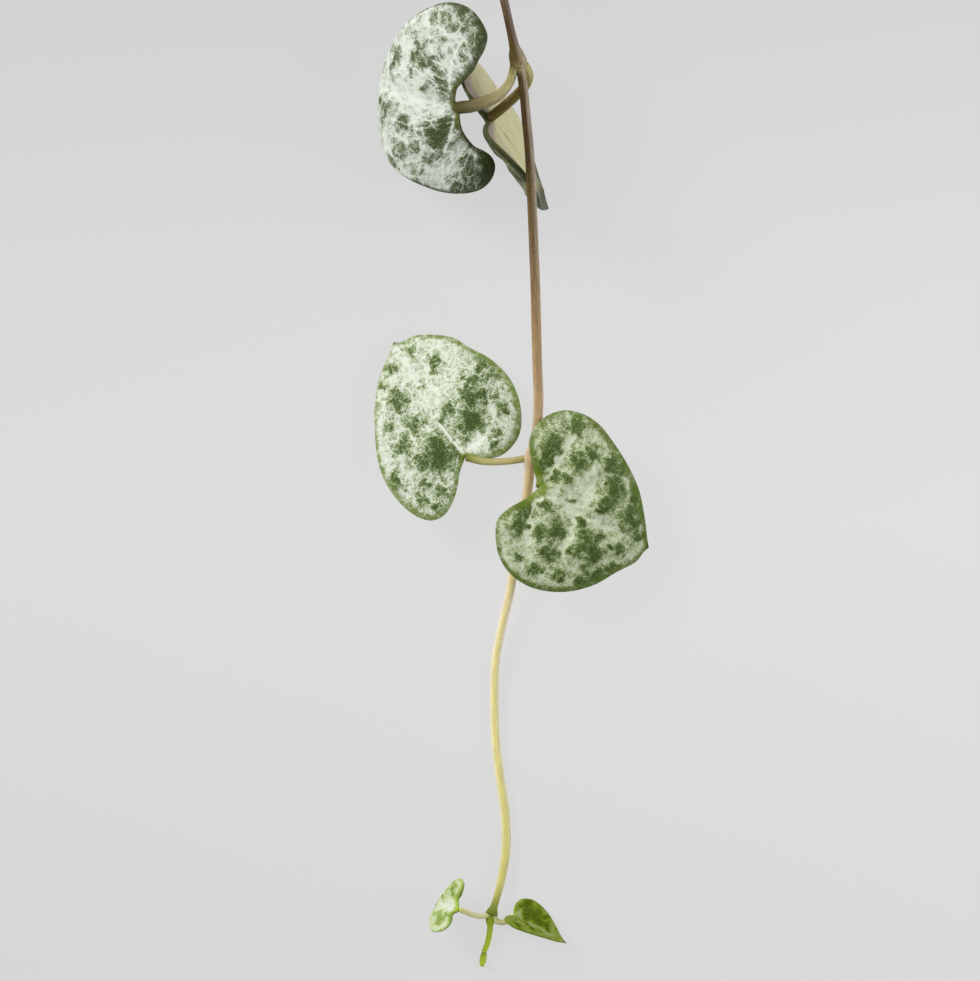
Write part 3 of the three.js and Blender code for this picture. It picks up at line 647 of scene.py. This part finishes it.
upperRightLeaf = {
    "piece": ("upperRightLeaf", "leaf", "mottledSkinUpperRightShaded", "paleSkinUnder"), "seed": 23,
    "grid": (180, 60),
    "left": [
        (0, 0), (-0.7, 1.4), (-1.45, 3.1), (-2, 4.7), (-2.1, 6.4), (-1.3, 7.9), (0, 9),
        (1.6, 9.8), (3.3, 9.85), (5.1, 9.4), (7.2, 8.4), (9.2, 7), (10.9, 5.5), (12.4, 4),
        (13.8, 2.6), (15.1, 1.2), (16.15, 0)],
    "right": [
        (0, 0), (-0.7, 0.4), (-1.75, 0.85), (-2.8, 1.35), (-3.7, 2.1), (-4.3, 3.3), (-4.45, 5),
        (-3.95, 6.8), (-2.8, 8.13), (-1, 9), (0.9, 8.85), (3, 8.5), (5, 8.47), (7, 8.5),
        (8.6, 8.25), (10.2, 7.15), (11.5, 5.64), (12.6, 4.14), (13.5, 2.8), (14.8, 1.3),
        (16.15, 0)],
    "hub": 2.4, "thick": 1.05, "at": (-0.46, 42.64, 11.62), "turn": (-48.4, 40.4, 113.8),
    "bend": (0.007, 0.053, -0.011, -0.064), "twist": 0.002,
    "bulges": [(4, 4, 2.4, -0.2), (4, -4, 2.4, -0.2)],
    "veins": [
        [(0, 0), (8, 0), (13, 0)], [(0, 0), (1.2, 3.8), (1.6, 7)],
        [(0, 0), (1.2, -3.8), (1.6, -7)]],
    "marks": [
        (2, 3, 1.2), (3.6, 5.8, 0.7), (6.4, 3.2, 1.1), (8.4, 5.4, 0.6), (0, 6, 0.9),
        (10.4, 2.6, 0.9), (2.2, -3, 1.1), (4.8, -5, 1), (1.2, -6.6, 1), (7, -3.4, 1),
        (9.6, -2.2, 0.8), (12, 1, 0.6), (5, -8, 0.8), (3, 8, 0.7)],
    "silver": [(0.3, 0.8, [(0.5, 0), (5, 0), (10, 0), (14, 0)])],
    "band": (
        [(0, 0.7, 1), (0.3, 0.8, 1), (0.6, 0.9, 1), (1, 0.6, 0.8)],
        [(0, 0.4, 0.6), (1, 0.3, 0.6)]),
    "blush": 1, "notchReach": 1.6, "fan": 5,
    "greenUnder": (
        [(0, 0.5), (0.6, 0.4), (0.74, 1), (0.82, 3), (0.92, 4.6), (1, 5.8)],
        [(0, 0.22), (0.6, 0.25), (0.7, 0.8), (0.78, 2.5), (0.9, 4.6), (1, 5.8)]),
}
makeLeaf("leaf_upper_right", upperRightLeaf)

middleLeftLeaf = {
    "piece": ("middleLeftLeaf", "leaf", "mottledSkinMiddleLeft", "paleSkinUnder"), "seed": 37,
    "left": [
        (0, 0), (-1.25, 1.55), (-2.55, 2.7), (-3.75, 4.1), (-4.5, 5.8), (-4.25, 7.33),
        (-3, 8.52), (-0.6, 9.4), (2.4, 9.6), (5.15, 9), (8.27, 7.5), (11.33, 5.52), (13.8, 3.3),
        (15.3, 1.1), (16.25, 0)],
    "right": [
        (0, 0), (-0.9, 1), (-1.8, 2.4), (-2.15, 4), (-1.4, 6.4), (0.4, 8), (2.9, 9.03),
        (5.5, 9.27), (8.45, 8.55), (10.8, 7.25), (12.9, 6.2), (14.5, 4.35), (15.6, 2.3),
        (15.75, 0.75), (16.25, 0)],
    "hub": 2.4, "thick": 1.1, "at": (-2.87, 3.98, 4.3), "turn": (122.2, 6, 0),
    "bend": (-0.012, -0.02, -0.018, -0.018),
    "bulges": [
        (3, 3.4, 2.3, 0.75), (5.2, -4.2, 3, 0.7), (9.9, 4.6, 1.8, 0.35), (7, -0.9, 1.4, 0.3)],
    "veins": [[(0, 0), (4, 0.1), (9, 0.1), (14, 0)], [(0, 0), (1.6, -2.2), (3, -5), (5, -6.9)]],
    # u 0 to 4, v 0.5 to 5: these blotches are partly painted shade of the valley, partly green
    "marks": [
        (0.7, 0.9, 0.8), (1.2, 2.6, 1.2, 1.2), (0.5, 3.4, 0.7), (2.3, 1.9, 1.1, 1.1),
        (3.3, 2.2, 0.9), (2.1, 4.3, 0.9), (4.8, 5.4, 0.9), (6.3, 2.9, 0.9), (9.6, 3.4, 0.9),
        (10.6, 2.9, 0.6), (7.6, 5.6, 0.5), (12.4, 3.7, 0.4), (13.5, 1.8, 0.5), (-2, 4.4, 0.6),
        (-3, 6.1, 0.5), (-1.6, 7.1, 0.6), (-0.2, 5.6, 0.5), (1.5, 8.2, 0.6), (2.5, 8.3, 0.4),
        (1.7, -1.2, 0.5), (3.2, -0.9, 0.6), (5.3, -0.1, 0.55), (5.7, -1.3, 0.6),
        (2.8, -2.9, 1.3, 1.2), (3.7, -2.8, 0.9, 1.1), (5.3, -3.9, 1, 1.2), (5.1, -5.2, 0.8, 1.1),
        (6.5, -3.9, 0.5), (6.8, -5.6, 0.6), (7.6, -4.9, 0.5), (4.1, -6.5, 0.5), (2.3, -6.5, 0.6),
        (8.2, -7.4, 0.9), (6.4, -7.6, 0.6), (10.6, -2.4, 0.5), (11.5, -2.9, 0.5),
        (9.6, -0.1, 0.3), (13.9, -1.1, 0.5), (0.4, -4.6, 0.45), (-0.5, -3.5, 0.5)],
    "silver": [
        (0.15, 2, [(0, 0), (2.5, 0.35), (5, 0.6)]), (0.2, 1, [(5, 0.6), (9, 0.3), (14, 0)]),
        (0.5, 1.2, [(0.3, -0.9), (0.6, -1.9), (1.1, -3)]),
        (0.4, 0.6, [(1.1, -3), (2.6, -5.2), (4.4, -6)])],
    "band": (
        [(0, 0.6, 1), (0.15, 0.8, 0.95), (0.3, 1.1, 0.95), (0.5, 0.9, 0.9), (0.65, 0.6, 0.8),
         (1, 0.45, 0.7)],
        [(0, 0.6, 1), (0.12, 1, 0.95), (0.25, 1.2, 1), (0.5, 1.1, 1), (0.7, 0.9, 0.85),
         (0.85, 0.9, 0.85), (1, 0.6, 0.8)]),
    "notchReach": 1, "veilAndShade": 0.45, "spread": 1,
}
makeLeaf("leaf_middle_left", middleLeftLeaf)

middleRightLeaf = {
    "piece": ("middleRightLeaf", "leaf", "mottledSkinMiddleRight", "paleSkinUnder"), "seed": 41,
    "left": [
        (0, 0), (-1.4, 1.4), (-2.8, 3), (-3.7, 4.6), (-3.8, 6), (-3.1, 7.9), (-1.57, 9.43),
        (0.6, 10.05), (2.8, 9.88), (5.32, 8.83), (8.2, 7.25), (10.7, 5.4), (12.85, 2.97),
        (14.25, 1.2), (15.25, 0)],
    "right": [
        (0, 0), (-0.7, 1.7), (-2.05, 3.97), (-2.48, 5.5), (-1.9, 7.1), (-0.43, 9.05),
        (1.67, 10.35), (4.4, 10.73), (7.13, 10.1), (9.5, 8.8), (11.6, 6.8), (13.1, 4.4),
        (14.65, 2.2), (14.95, 0.82), (15.25, 0)],
    "hub": 2.2, "thick": 1.1, "at": (5.69, 0.31, 7), "turn": (-28.4, 6, 0),
    "bend": (-0.02, -0.01, -0.015, -0.015),
    "bulges": [
        (-1.4, 5.4, 1.5, 0.4), (1.2, 8, 1.3, 0.3), (2.6, 5, 1.8, 0.5), (5.2, 5, 1.1, 0.3),
        (2.4, 2, 1.3, 0.35), (1.9, -1.7, 1.5, 0.45), (3.4, -4.5, 2, 0.6), (7.3, 1.7, 2, 0.6),
        (7.9, -3.4, 2.2, 0.6), (10.8, 1.1, 1.4, 0.4), (11.2, -2, 1.2, 0.35),
        (-1.2, -5.3, 1.5, 0.35)],
    "veins": [
        [(0, 0), (5, -0.4), (9.5, -0.3), (14, 0)], [(0, 0), (0.9, 3), (1.8, 5.6), (0.4, 8)],
        [(0, 0), (0.3, -2.4), (1.4, -5), (2.4, -7.6)],
        [(6, 3.6), (5.6, 0), (4.9, -3.6), (5.6, -6.4)]],
    "marks": [
        (-1.1, 5.2, 1.2), (-1, 3.4, 0.9), (-1.2, 2.2, 0.6), (0.6, 8.2, 0.8), (3.4, 6.2, 0.8),
        (2.3, 5, 0.8), (2.8, 4.2, 0.6), (2.4, 2.4, 0.5), (0.8, 2.2, 0.7), (5.8, 6.4, 0.7),
        (7.6, 4.4, 0.9), (8.2, 3.4, 0.9), (7.6, 2.2, 0.8), (7.3, 1.3, 0.6), (10.4, 4.4, 0.6),
        (10.8, 2.3, 0.9), (11.6, 1.6, 0.8), (12.9, 0.4, 0.7), (7.2, 6.3, 0.6), (4.1, 0.6, 0.3),
        (1.6, -1.3, 0.7), (-0.2, -3.3, 0.8), (0, -5, 0.9), (3.9, -3.6, 0.9), (4.7, -3.2, 0.8),
        (2.5, -4.5, 0.6), (4.9, -5.9, 0.8), (3.8, -6.3, 0.5), (6.2, -1.2, 0.5), (7, -2.4, 0.7),
        (8.6, -1.8, 0.6), (8.1, -3.4, 1), (9.3, -3.6, 0.9), (7.2, -4.5, 0.6), (11.7, -1.9, 0.6),
        (10.6, -2, 0.4), (9.2, -5.3, 0.5), (10.8, -5.7, 0.7), (12, -4.2, 0.6), (9.6, -7.2, 0.6),
        (6.9, -7.7, 0.6), (4, -8.5, 0.6), (1.8, -8.2, 0.4)],
    "silver": [
        (0.35, 0.7, [(0.2, 0), (3, -0.3), (6, -0.4), (10, -0.2), (13, 0.1)]),
        (0.22, 1.2, [(0.3, 0.3), (0.3, 2), (0.4, 4), (0.6, 6.8)]),
        (0.25, 1.2, [(0.3, -0.5), (0.5, -3), (1.3, -5), (2, -6.5)]),
        (0.28, 1.1, [(4.9, 4), (5.3, 1.5), (5.4, -1), (5.6, -3), (6, -5.5)])],
    "band": (
        [(0, 1.4, 1), (0.1, 1.1, 1), (0.2, 0.9, 0.8), (0.3, 1, 0.75), (0.42, 1.1, 0.85),
         (0.55, 1.2, 1), (0.85, 1.3, 1), (1, 0.6, 0.9)],
        [(0, 1.5, 1), (0.12, 0.9, 1), (0.22, 0.6, 0.75), (0.35, 0.7, 0.85), (0.5, 1, 1),
         (0.8, 1.2, 1), (1, 0.7, 0.9)]),
    "notchReach": 1.8, "veilAndShade": 0.25, "spread": 1.1,
}
makeLeaf("leaf_middle_right", middleRightLeaf)

tipLeftLeaf = {
    "piece": ("tipLeftLeaf", "young_leaf", "youngSkinLeft", "youngSkinUnder"), "seed": 53,
    "grid": (110, 36),
    "left": [
        (-0.38, 0), (-0.26, 0.33), (0.34, 0.69), (0.42, 1.13), (-0.06, 1.71), (-0.11, 2.4),
        (0.25, 2.96), (0.86, 3.32), (1.73, 3.5), (2.78, 2.94), (3.81, 2.12), (4.67, 1.18),
        (5.05, 0)],
    "right": [
        (-0.38, 0), (0.15, 0.57), (0.5, 1.13), (0.45, 1.56), (0.12, 2.05), (-0.03, 2.6),
        (0.04, 3.12), (0.84, 3.5), (1.79, 3.25), (2.71, 2.8), (3.54, 2.15), (4.25, 1.37),
        (4.86, 0.54), (5.05, 0)],
    "hub": 1.6, "thick": 0.7, "at": (-3.938, -48.768, 4.727), "turn": (172.2, 52.17, 18.5),
    "bend": (-0.059, 0.192, 0.066, 0.066), "twist": 0.021, "fold": 2.1,
    "veins": [[(0, 0), (4.4, 0)], [(0, 0), (0.9, 2.4)], [(0, 0), (0.9, -2.4)]],
    "marks": [
        (1.3, 2, 0.5), (2, 1.3, 0.5), (3, 1.3, 0.35), (1.1, -1.6, 0.4), (1.6, -2.3, 0.4),
        (2.4, -1.6, 0.3), (3.2, -1, 0.3), (0.9, 1.1, 0.3)],
    "silver": [(0.4, 1, [(0.6, 0), (2, 0), (3.6, -0.1)])],
    "band": (
        [(0, 0.3, 1), (0.3, 0.22, 0.7), (1, 0.15, 0.5)],
        [(0, 0.35, 1), (0.5, 0.25, 1), (1, 0.15, 0.5)]),
    "blush": 0, "notchReach": 0.8, "fan": 1.5,
}
makeLeaf("leaf_tip_left", tipLeftLeaf)

tipRightLeaf = {
    "piece": ("tipRightLeaf", "young_leaf", "youngSkinRight", "youngSkinUnder"), "seed": 67,
    "grid": (110, 36),
    "left": [
        (0, 0), (-0.39, 0.5), (-0.54, 1.3), (-0.15, 2.1), (0.89, 2.6), (2.18, 2.5), (3.57, 2),
        (5.06, 1.1), (6.16, 0.4), (6.95, 0)],
    "right": [
        (0, 0), (-0.46, 0.5), (-0.83, 1.3), (-0.65, 2.2), (0.4, 2.7), (1.79, 2.4), (3.38, 1.7),
        (4.97, 0.9), (6.16, 0.35), (6.95, 0)],
    "hub": 0.9, "thick": 0.7, "at": (2.91, -49.85, 0.86), "turn": (-28.5, -4.7, -36.9),
    "bend": (0, 0, 0, 0), "fold": 31.6,
    "veins": [[(0, 0), (5.6, 0)], [(0, 0), (1, 1.6)], [(0, 0), (1, -1.6)]],
    "marks": [
        (2, 0.9, 0.8), (0.9, 1.2, 0.6), (0.6, 2, 0.4), (3, 0.6, 0.5), (3.9, 0.6, 0.35),
        (3.2, 1.5, 0.3), (1.6, -0.5, 0.3), (2.4, -1, 0.35), (0.9, -1.9, 0.4)],
    "silver": [(0.18, 1, [(0, 0), (2, -0.2), (4.6, -0.1)]), (0.14, 1, [(0, 0), (0.5, 1.2)])],
    "band": ([(0, 0.3, 1), (1, 0.2, 0.7)], [(0, 0.5, 1), (0.5, 0.25, 0.8), (1, 0.2, 0.7)]),
    "blush": 0, "notchReach": 1.2,
}
makeLeaf("leaf_tip_right", tipRightLeaf)


# stems

def stemMaterial(name, look):
    # thin living bark: fine lengthwise fibres, colour that changes along the stem,
    # and a tint on one flank, a pale bloom of the skin with painted highlight
    material, add = startMaterial(name)
    skin = add("Attribute", attribute_name="skin").outputs["Vector"]
    share, bloomAndHighlight = (add("Attribute", attribute_name=key).outputs["Fac"]
                    for key in ("share", "bloomAndHighlight"))
    # fibres 0.2 mm wide and grains of 0.25 mm; the long coordinate of the fibres is
    # pressed to a tenth, so each grain becomes a fibre
    pressed = add("Mapping", {"Vector": skin, "Scale": (1.0, 1.0, 0.1)})
    fibre = add("TexNoise", {"Vector": pressed, "Scale": 1 / 0.2, "Detail": 2.0})
    grain = add("TexNoise", {"Vector": skin, "Scale": 1 / 0.25, "Detail": 3.0})
    colour, bloomAndHighlightColour = (add("ValToRGB", [share], look[key]) for key in ("stops", "bloomAndHighlight"))
    colour = layColours(add, colour, [(bloomAndHighlight, bloomAndHighlightColour)])
    # the texture calms down from the woody end to the young one
    calm = add("MapRange", (share, 0.25, 0.5, 1.0, look["youngTexture"]))
    for noise, depth in ((fibre, look["fibre"]), (grain, look["grain"])):
        low, high = (addProducts(add, 1.0, [(calm, swing)]) for swing in (-depth, depth))
        colour = shadeBy(add, colour, noise, low, high)
    height = add("Math", (fibre, grain), operation="ADD")
    finishMaterial(add, colour, height, 0.00006, {
        "Roughness": look["roughness"], "IOR": 1.42, "Specular IOR Level": look["gloss"],
        "Subsurface Weight": 0.1, "Subsurface Radius": (0.5, 0.4, 0.15),
        "Subsurface Scale": 0.0004})
    return material


plainStemLook = {"youngTexture": 1.0, "roughness": 0.45, "gloss": 0.25}
stemLooks = {
    # both colour ramps run along the piece; the second one colours one flank: on the stem a pale
    # bloom of the skin with painted highlight, on the petioles painted highlight.
    # fibre, grain: how much they lighten and darken. youngTexture: share of that left at
    # the young end. gloss: strength of the reflection.
    "vineStemSkin": {
        "stops": [
            # the pale ring at 0.131 to 0.135 is the node's collar: pale skin with painted highlight
            # on it
            (0, "#6a5741"), (0.064, "#6a5743"), (0.096, "#4a381e"), (0.118, "#4e4019"),
            (0.127, "#52451f"), (0.1295, "#6a5b32"), (0.131, "#94845c"), (0.135, "#94845c"),
            (0.142, "#44331a"), (0.235, "#3e2e14"), (0.276, "#6d5a39"), (0.333, "#866c50"),
            (0.409, "#ae9068"), (0.478, "#c2a178"), (0.55, "#cbb184"), (0.64, "#e6d69e"),
            (0.707, "#eadc9c"), (0.78, "#e9dd92"), (0.935, "#dad07e"), (0.975, "#c8c06c"),
            (0.988, "#9aa23e"), (0.998, "#6c7a2a")],
        "bloomAndHighlight": [
            (0, "#807068"), (0.1, "#7e7068"), (0.13, "#b8aa8e"), (0.2, "#a39484"),
            (0.3, "#b3a288"), (0.4, "#c4aa80"), (0.55, "#e0cfb4"), (0.7, "#f2e6cc"),
            (0.85, "#efe8bc"), (0.97, "#dcd498"), (1, "#7c9030")],
        "fibre": 0.3, "grain": 0.2, "youngTexture": 0.35, "roughness": 0.6, "gloss": 0.12},
    "olivePetioleSkin": {
        # painted shade: stops and flank start dark where it leaves the stem, lighter by 0.08 of the
        # way
        "stops": [
            (0, "#40360e"), (0.04, "#4a3f14"), (0.08, "#7c7040"), (0.16, "#9a925e"),
            (0.3, "#a39b6e"), (0.5, "#8a8056"), (0.68, "#6b6138"), (0.85, "#4e4620"),
            (1, "#564b20")],
        "bloomAndHighlight": [
            (0, "#463b10"), (0.04, "#54481c"), (0.12, "#aca470"), (0.3, "#cbc398"),
            (0.55, "#d2c9a0"), (0.72, "#a2996a"), (0.88, "#70663a"), (1, "#5e5428")],
        "fibre": 0.15, "grain": 0.18},
    "shadedPetioleSkin": {
        # painted shade: light where it bulges from the stem, darker from there on, where it runs
        # under the stem
        "stops": [
            (0, "#c4b880"), (0.15, "#baad76"), (0.3, "#8f7f46"), (0.45, "#776830"),
            (1, "#665924")],
        "bloomAndHighlight": [(0, "#c8bf90"), (0.3, "#9a8a50"), (1, "#75682f")], "fibre": 0.1, "grain": 0.1},
    "palePetioleSkin": {
        "stops": [
            (0, "#ada55f"), (0.4, "#c6b87f"), (0.75, "#b1ac70"), (0.9, "#999c4e"), (1, "#757b30")],
        "bloomAndHighlight": [(0, "#cabd93"), (0.8, "#c8bd92"), (1, "#928f4d")], "fibre": 0.08,
        "grain": 0.08},
    "youngPetioleSkin": {
        "stops": [(0, "#cdd184"), (0.35, "#d9dca2"), (0.7, "#ded29e"), (1, "#dde27c")],
        "bloomAndHighlight": [(0, "#e8eac0"), (1, "#ece8c0")], "fibre": 0.05, "grain": 0.05,
        "roughness": 0.42, "gloss": 0.3},
    "greenShootSkin": {
        "stops": [(0, "#7c8e26"), (0.12, "#9cb02a"), (0.3, "#b2c738"), (1, "#bdd23a")],
        "bloomAndHighlight": [(0, "#b4c944"), (1, "#cede62")], "fibre": 0.05, "grain": 0.06,
        "roughness": 0.42, "gloss": 0.3},
    "freshCutPith": {
        "stops": [(0, "#a8b07c"), (1, "#8f8a5c")], "bloomAndHighlight": [(0, "#9d9a6c"), (1, "#9d9a6c")],
        "fibre": 0.12, "grain": 0.14, "roughness": 0.7, "gloss": 0.12},
}
bark = {name: stemMaterial(name, {**plainStemLook, **look}) for name, look in stemLooks.items()}

tube = {
    # what the stem and the petioles share
    "capRings": 6,              # rings that close an end
    "dome": 0.25,               # height of a round end over its radius
    "cut": (0.02, 0.97),        # mm that a cut end stands out, and its width as a share
    "nodeRing": (0.035, 0.16),  # mm, height and half length of the ring between two petioles
    "ridges": ((5, 1, 0.35), (3, 0.5, -0.2)),  # how many round, height, turn in radians per mm
}


def unit(vectors):
    # each vector over its own length
    return vectors / np.linalg.norm(vectors, axis=-1, keepdims=True)


def makeTube(name, node, stations, steps, sides, skin, swellings=(), cutEnd=False,
             bloomAndHighlightSide=0.0, ridges=0.03, pale=0.0):
    # a ring of points carried along the curve, with swollen nodes and ends closed by caps
    line = throughStations(stations, steps)
    path, radius = line[:, :3], line[:, 3].copy()
    along = lengthAlong(path)
    for middle, before, after, halfWidth in swellings:
        near = along[np.linalg.norm(path - np.array(middle), axis=1).argmin()]
        reach = np.where(along < near, before, after)
        swell = halfWidth * np.sqrt(np.clip(1 - ((along - near) / reach) ** 2, 0, 1))
        radius = (radius ** 4 + swell ** 4) ** 0.25
        rise, halfLength = tube["nodeRing"]
        radius += rise * np.exp(-((along - near) / halfLength) ** 2)
    # a flat quarter round closes each end; a cut end closes flat
    caps = tube["capRings"]
    turn = np.radians(np.arange(1, caps + 1) * 90 / caps)
    startDrop = tube["dome"] * radius[0] * np.sin(turn)
    startShare = np.cos(turn)
    if cutEnd:
        startDrop = np.full(caps, tube["cut"][0])
        startShare = np.linspace(tube["cut"][1], 0, caps)
    ahead = np.gradient(path, axis=0)
    ahead = unit(np.vstack([np.tile(ahead[0], (caps, 1)), ahead, np.tile(ahead[-1], (caps, 1))]))
    path = np.vstack([
        (path[0] + startDrop[:, None] * unit(path[0] - path[1]))[::-1], path,
        path[-1] + tube["dome"] * radius[-1] * np.sin(turn)[:, None] * unit(path[-1] - path[-2])])
    radius = np.r_[(radius[0] * startShare)[::-1], radius, radius[-1] * np.cos(turn)]
    along = np.r_[np.zeros(caps), along, np.full(caps, along[-1])]
    side = unit(np.cross(ahead, [0, 0, 1]))
    over = np.cross(side, ahead)
    # place = path + r (cos a side + sin a over), with shallow ridges that wind slowly round
    a = 2 * math.pi * (np.arange(sides) + 0.5) / sides
    ring = 1 - ridges
    for number, share, wind in tube["ridges"]:
        ring = ring + share * ridges * np.cos(number * a + wind * along[:, None])
    ring = radius[:, None] * ring
    points = (path[:, None] + side[:, None] * (ring * np.cos(a))[..., None]
              + over[:, None] * (ring * np.sin(a))[..., None])
    # the first and the last ring shrink to one point each, after all the others
    points = np.vstack([points[1:-1].reshape(-1, 3), path[[0, -1]]])
    rows = len(path) - 2
    i = np.arange(sides)
    after = (i + 1) % sides
    row = (sides * np.arange(rows - 1))[:, None]
    quads = np.stack([row + i, row + sides + i, row + sides + after, row + after], -1)
    lastRow, poles = (rows - 1) * sides, rows * sides
    startFan = np.stack([np.full(sides, poles), i, after], -1)
    endFan = np.stack([np.full(sides, poles + 1), lastRow + after, lastRow + i], -1)
    faces = quads.reshape(-1, 4).tolist() + startFan.tolist() + endFan.tolist()
    faceMaterial = np.zeros(len(faces), int)
    if cutEnd:  # the quads between the rings of the cap, and the fan, which follows all quads
        faceMaterial[:(caps - 1) * sides] = 1
        faceMaterial[lastRow:lastRow + sides] = 1

    # skin coordinates in mm, share of the length, and the tint of the flanks, painted highlight
    lengthwise = np.repeat(along[1:-1], sides)
    reach = np.repeat(radius[1:-1], sides)
    angle = np.tile(a, rows)
    skinVector = np.stack([np.r_[reach * np.cos(angle), 0, 0], np.r_[reach * np.sin(angle), 0, 0],
                           np.r_[lengthwise, 0, along[-1]]], -1)
    share = np.r_[lengthwise, 0, along[-1]] / along[-1]
    # one flank is lighter at first, bloom and painted highlight, less so further on; a pale tube
    # has both
    bloomAndHighlight = abs(bloomAndHighlightSide) * smoothStep((np.cos(angle) * np.sign(bloomAndHighlightSide) + 0.15) / 0.95)
    bloomAndHighlight *= 1 - 0.6 * smoothStep((share[:-2] - 0.28) / 0.15)
    both = smoothStep((np.abs(np.cos(angle)) - 0.25) / 0.6) * smoothStep((share[:-2] - 0.4) / 0.2)
    bloomAndHighlight = np.r_[np.maximum(bloomAndHighlight, pale * both), 0, 0]
    addPiece(name, node, points, faces, faceMaterial,
             [bark[skin], bark["freshCutPith"]] if cutEnd else [bark[skin]],
             {"skin": skinVector, "share": share, "bloomAndHighlight": bloomAndHighlight})


stem = {
    # x, y, z and radius from the cut end to the growing tip, mm
    "stations": [
        (-0.12, 63.79, 10.9, 0.54), (0.75, 60.01, 11.9, 0.52), (1.65, 56.26, 12.7, 0.5),
        (2.46, 52.5, 13.3, 0.51), (2.95, 50.4, 13.6, 0.62), (3.56, 48.1, 13.9, 0.54),
        (3.88, 45.8, 14.7, 0.54), (4.16, 42.5, 16.3, 0.54), (4.46, 39, 18, 0.55),
        (4.66, 35.6, 18.5, 0.56), (4.86, 31.8, 17.4, 0.56), (5.11, 25.9, 14.6, 0.57),
        (5.3, 20, 11.4, 0.58), (5.5, 14.4, 8.8, 0.58), (5.65, 10.3, 6.9, 0.58),
        (5.42, 7.05, 5.6, 0.58), (4.73, 3.79, 4.9, 0.62), (4.5, 0.99, 4.4, 0.6),
        (4.09, -1.69, 3.9, 0.58), (3.1, -6.73, 3, 0.56), (2.28, -12.13, 2.2, 0.54),
        (1.17, -17.07, 1.4, 0.53), (0.65, -20.49, 1, 0.53), (0.53, -25.2, 0.7, 0.53),
        (0.71, -29.79, 0.56, 0.53), (1.23, -34.02, 0.53, 0.53), (1.8, -38.13, 0.6, 0.54),
        (1.88, -42, 0.75, 0.54), (1.41, -45.28, 0.95, 0.5), (0.7, -48.08, 1.2, 0.44),
        (0.18, -49.72, 1.3, 0.5)],
    # swollen nodes: middle, length before and after it, half width
    "nodes": [
        ((3.3, 49.2, 13.9), 1.9, 1, 0.97), ((4.75, 3.8, 4.9), 1.2, 1.2, 0.72),
        ((0.15, -49.7, 1.3), 0.9, 0.9, 0.68)],
}
makeTube("vineStem", "stem", stem["stations"], 900, 28, "vineStemSkin",
         stem["nodes"], cutEnd=True, bloomAndHighlightSide=-0.95, pale=0.9)

petioles = {
    # name, skin, side and strength of the flank's painted highlight, and stations of x, y, z
    # and radius from stem to leaf, mm
    "petiole_upper_left": ("upperLeftPetiole", "olivePetioleSkin", -0.9, [
        (2.85, 49.1, 13.9, 0.5), (2.62, 47.86, 14.15, 0.52), (2.24, 46.8, 14.3, 0.53),
        (1.15, 45.48, 14.25, 0.63), (-0.58, 44.69, 13.65, 0.75), (-2.3, 44.24, 12.9, 0.77),
        (-3.2, 44.17, 12.3, 0.76), (-3.75, 44.14, 11.75, 0.72), (-4.05, 44.13, 11.35, 0.62)]),
    "petiole_upper_right": ("upperRightPetiole", "shadedPetioleSkin", 0.4, [
        (4.05, 49, 13.6, 0.5), (4.45, 47.8, 13.1, 0.6), (4.1, 46.7, 12.8, 0.6),
        (3.1, 45.6, 12.5, 0.6), (1.5, 44.2, 12.1, 0.62), (0, 43, 11.7, 0.6)]),
    "petiole_middle_left": ("middleLeftPetiole", "palePetioleSkin", 0.4, [
        (4.6, 3.8, 4.9, 0.45), (2, 3.4, 4.9, 0.42), (-0.8, 3.4, 4.7, 0.44), (-2.7, 3.9, 4.4, 0.5)]),
    "petiole_middle_right": ("middleRightPetiole", "palePetioleSkin", 0.4, [
        (4.8, 3.7, 4.9, 0.5), (5.6, 2.8, 5.4, 0.45), (5.9, 1.6, 6.1, 0.45),
        (5.75, 0.5, 6.9, 0.45)]),
    "petiole_tip_left": ("tipLeftPetiole", "youngPetioleSkin", 0.4, [
        (0.1, -49.7, 1.3, 0.34), (-0.9, -49.95, 1.8, 0.32), (-2.1, -49.65, 2.9, 0.32),
        (-3.2, -49.1, 4.2, 0.32), (-3.65, -48.88, 4.7, 0.3)]),
    "petiole_tip_right": ("tipRightPetiole", "youngPetioleSkin", 0.4, [
        (0.25, -49.7, 1.3, 0.38), (0.9, -50.6, 1.15, 0.36), (2, -50.6, 1, 0.34),
        (2.75, -49.95, 0.9, 0.34)]),
}
for node, (name, skin, bloomAndHighlightSide, stations) in petioles.items():
    makeTube(name, node, stations, 90, 28, skin, bloomAndHighlightSide=bloomAndHighlightSide)

shoot = {
    "shoot": [
        (0.05, -49.9, 1.2, 0.38), (0, -51.6, 1, 0.36), (-0.3, -53.2, 0.8, 0.34),
        (-0.7, -54.2, 0.7, 0.32)],
    "bud": [
        (-0.66, -54.3, 0.72, 0.3), (-0.75, -54.8, 0.7, 0.42), (-0.85, -55.4, 0.68, 0.4),
        (-0.95, -55.9, 0.66, 0.24)],
    "nodes": [((0.04, -50.1, 1.2), 0.4, 1.1, 0.56)],
}
makeTube("growingShoot", "shoot", shoot["shoot"], 90, 24, "greenShootSkin",
         shoot["nodes"])
makeTube("tipBud", "bud", shoot["bud"], 40, 24, "greenShootSkin", ridges=0.05)
print("stems made")
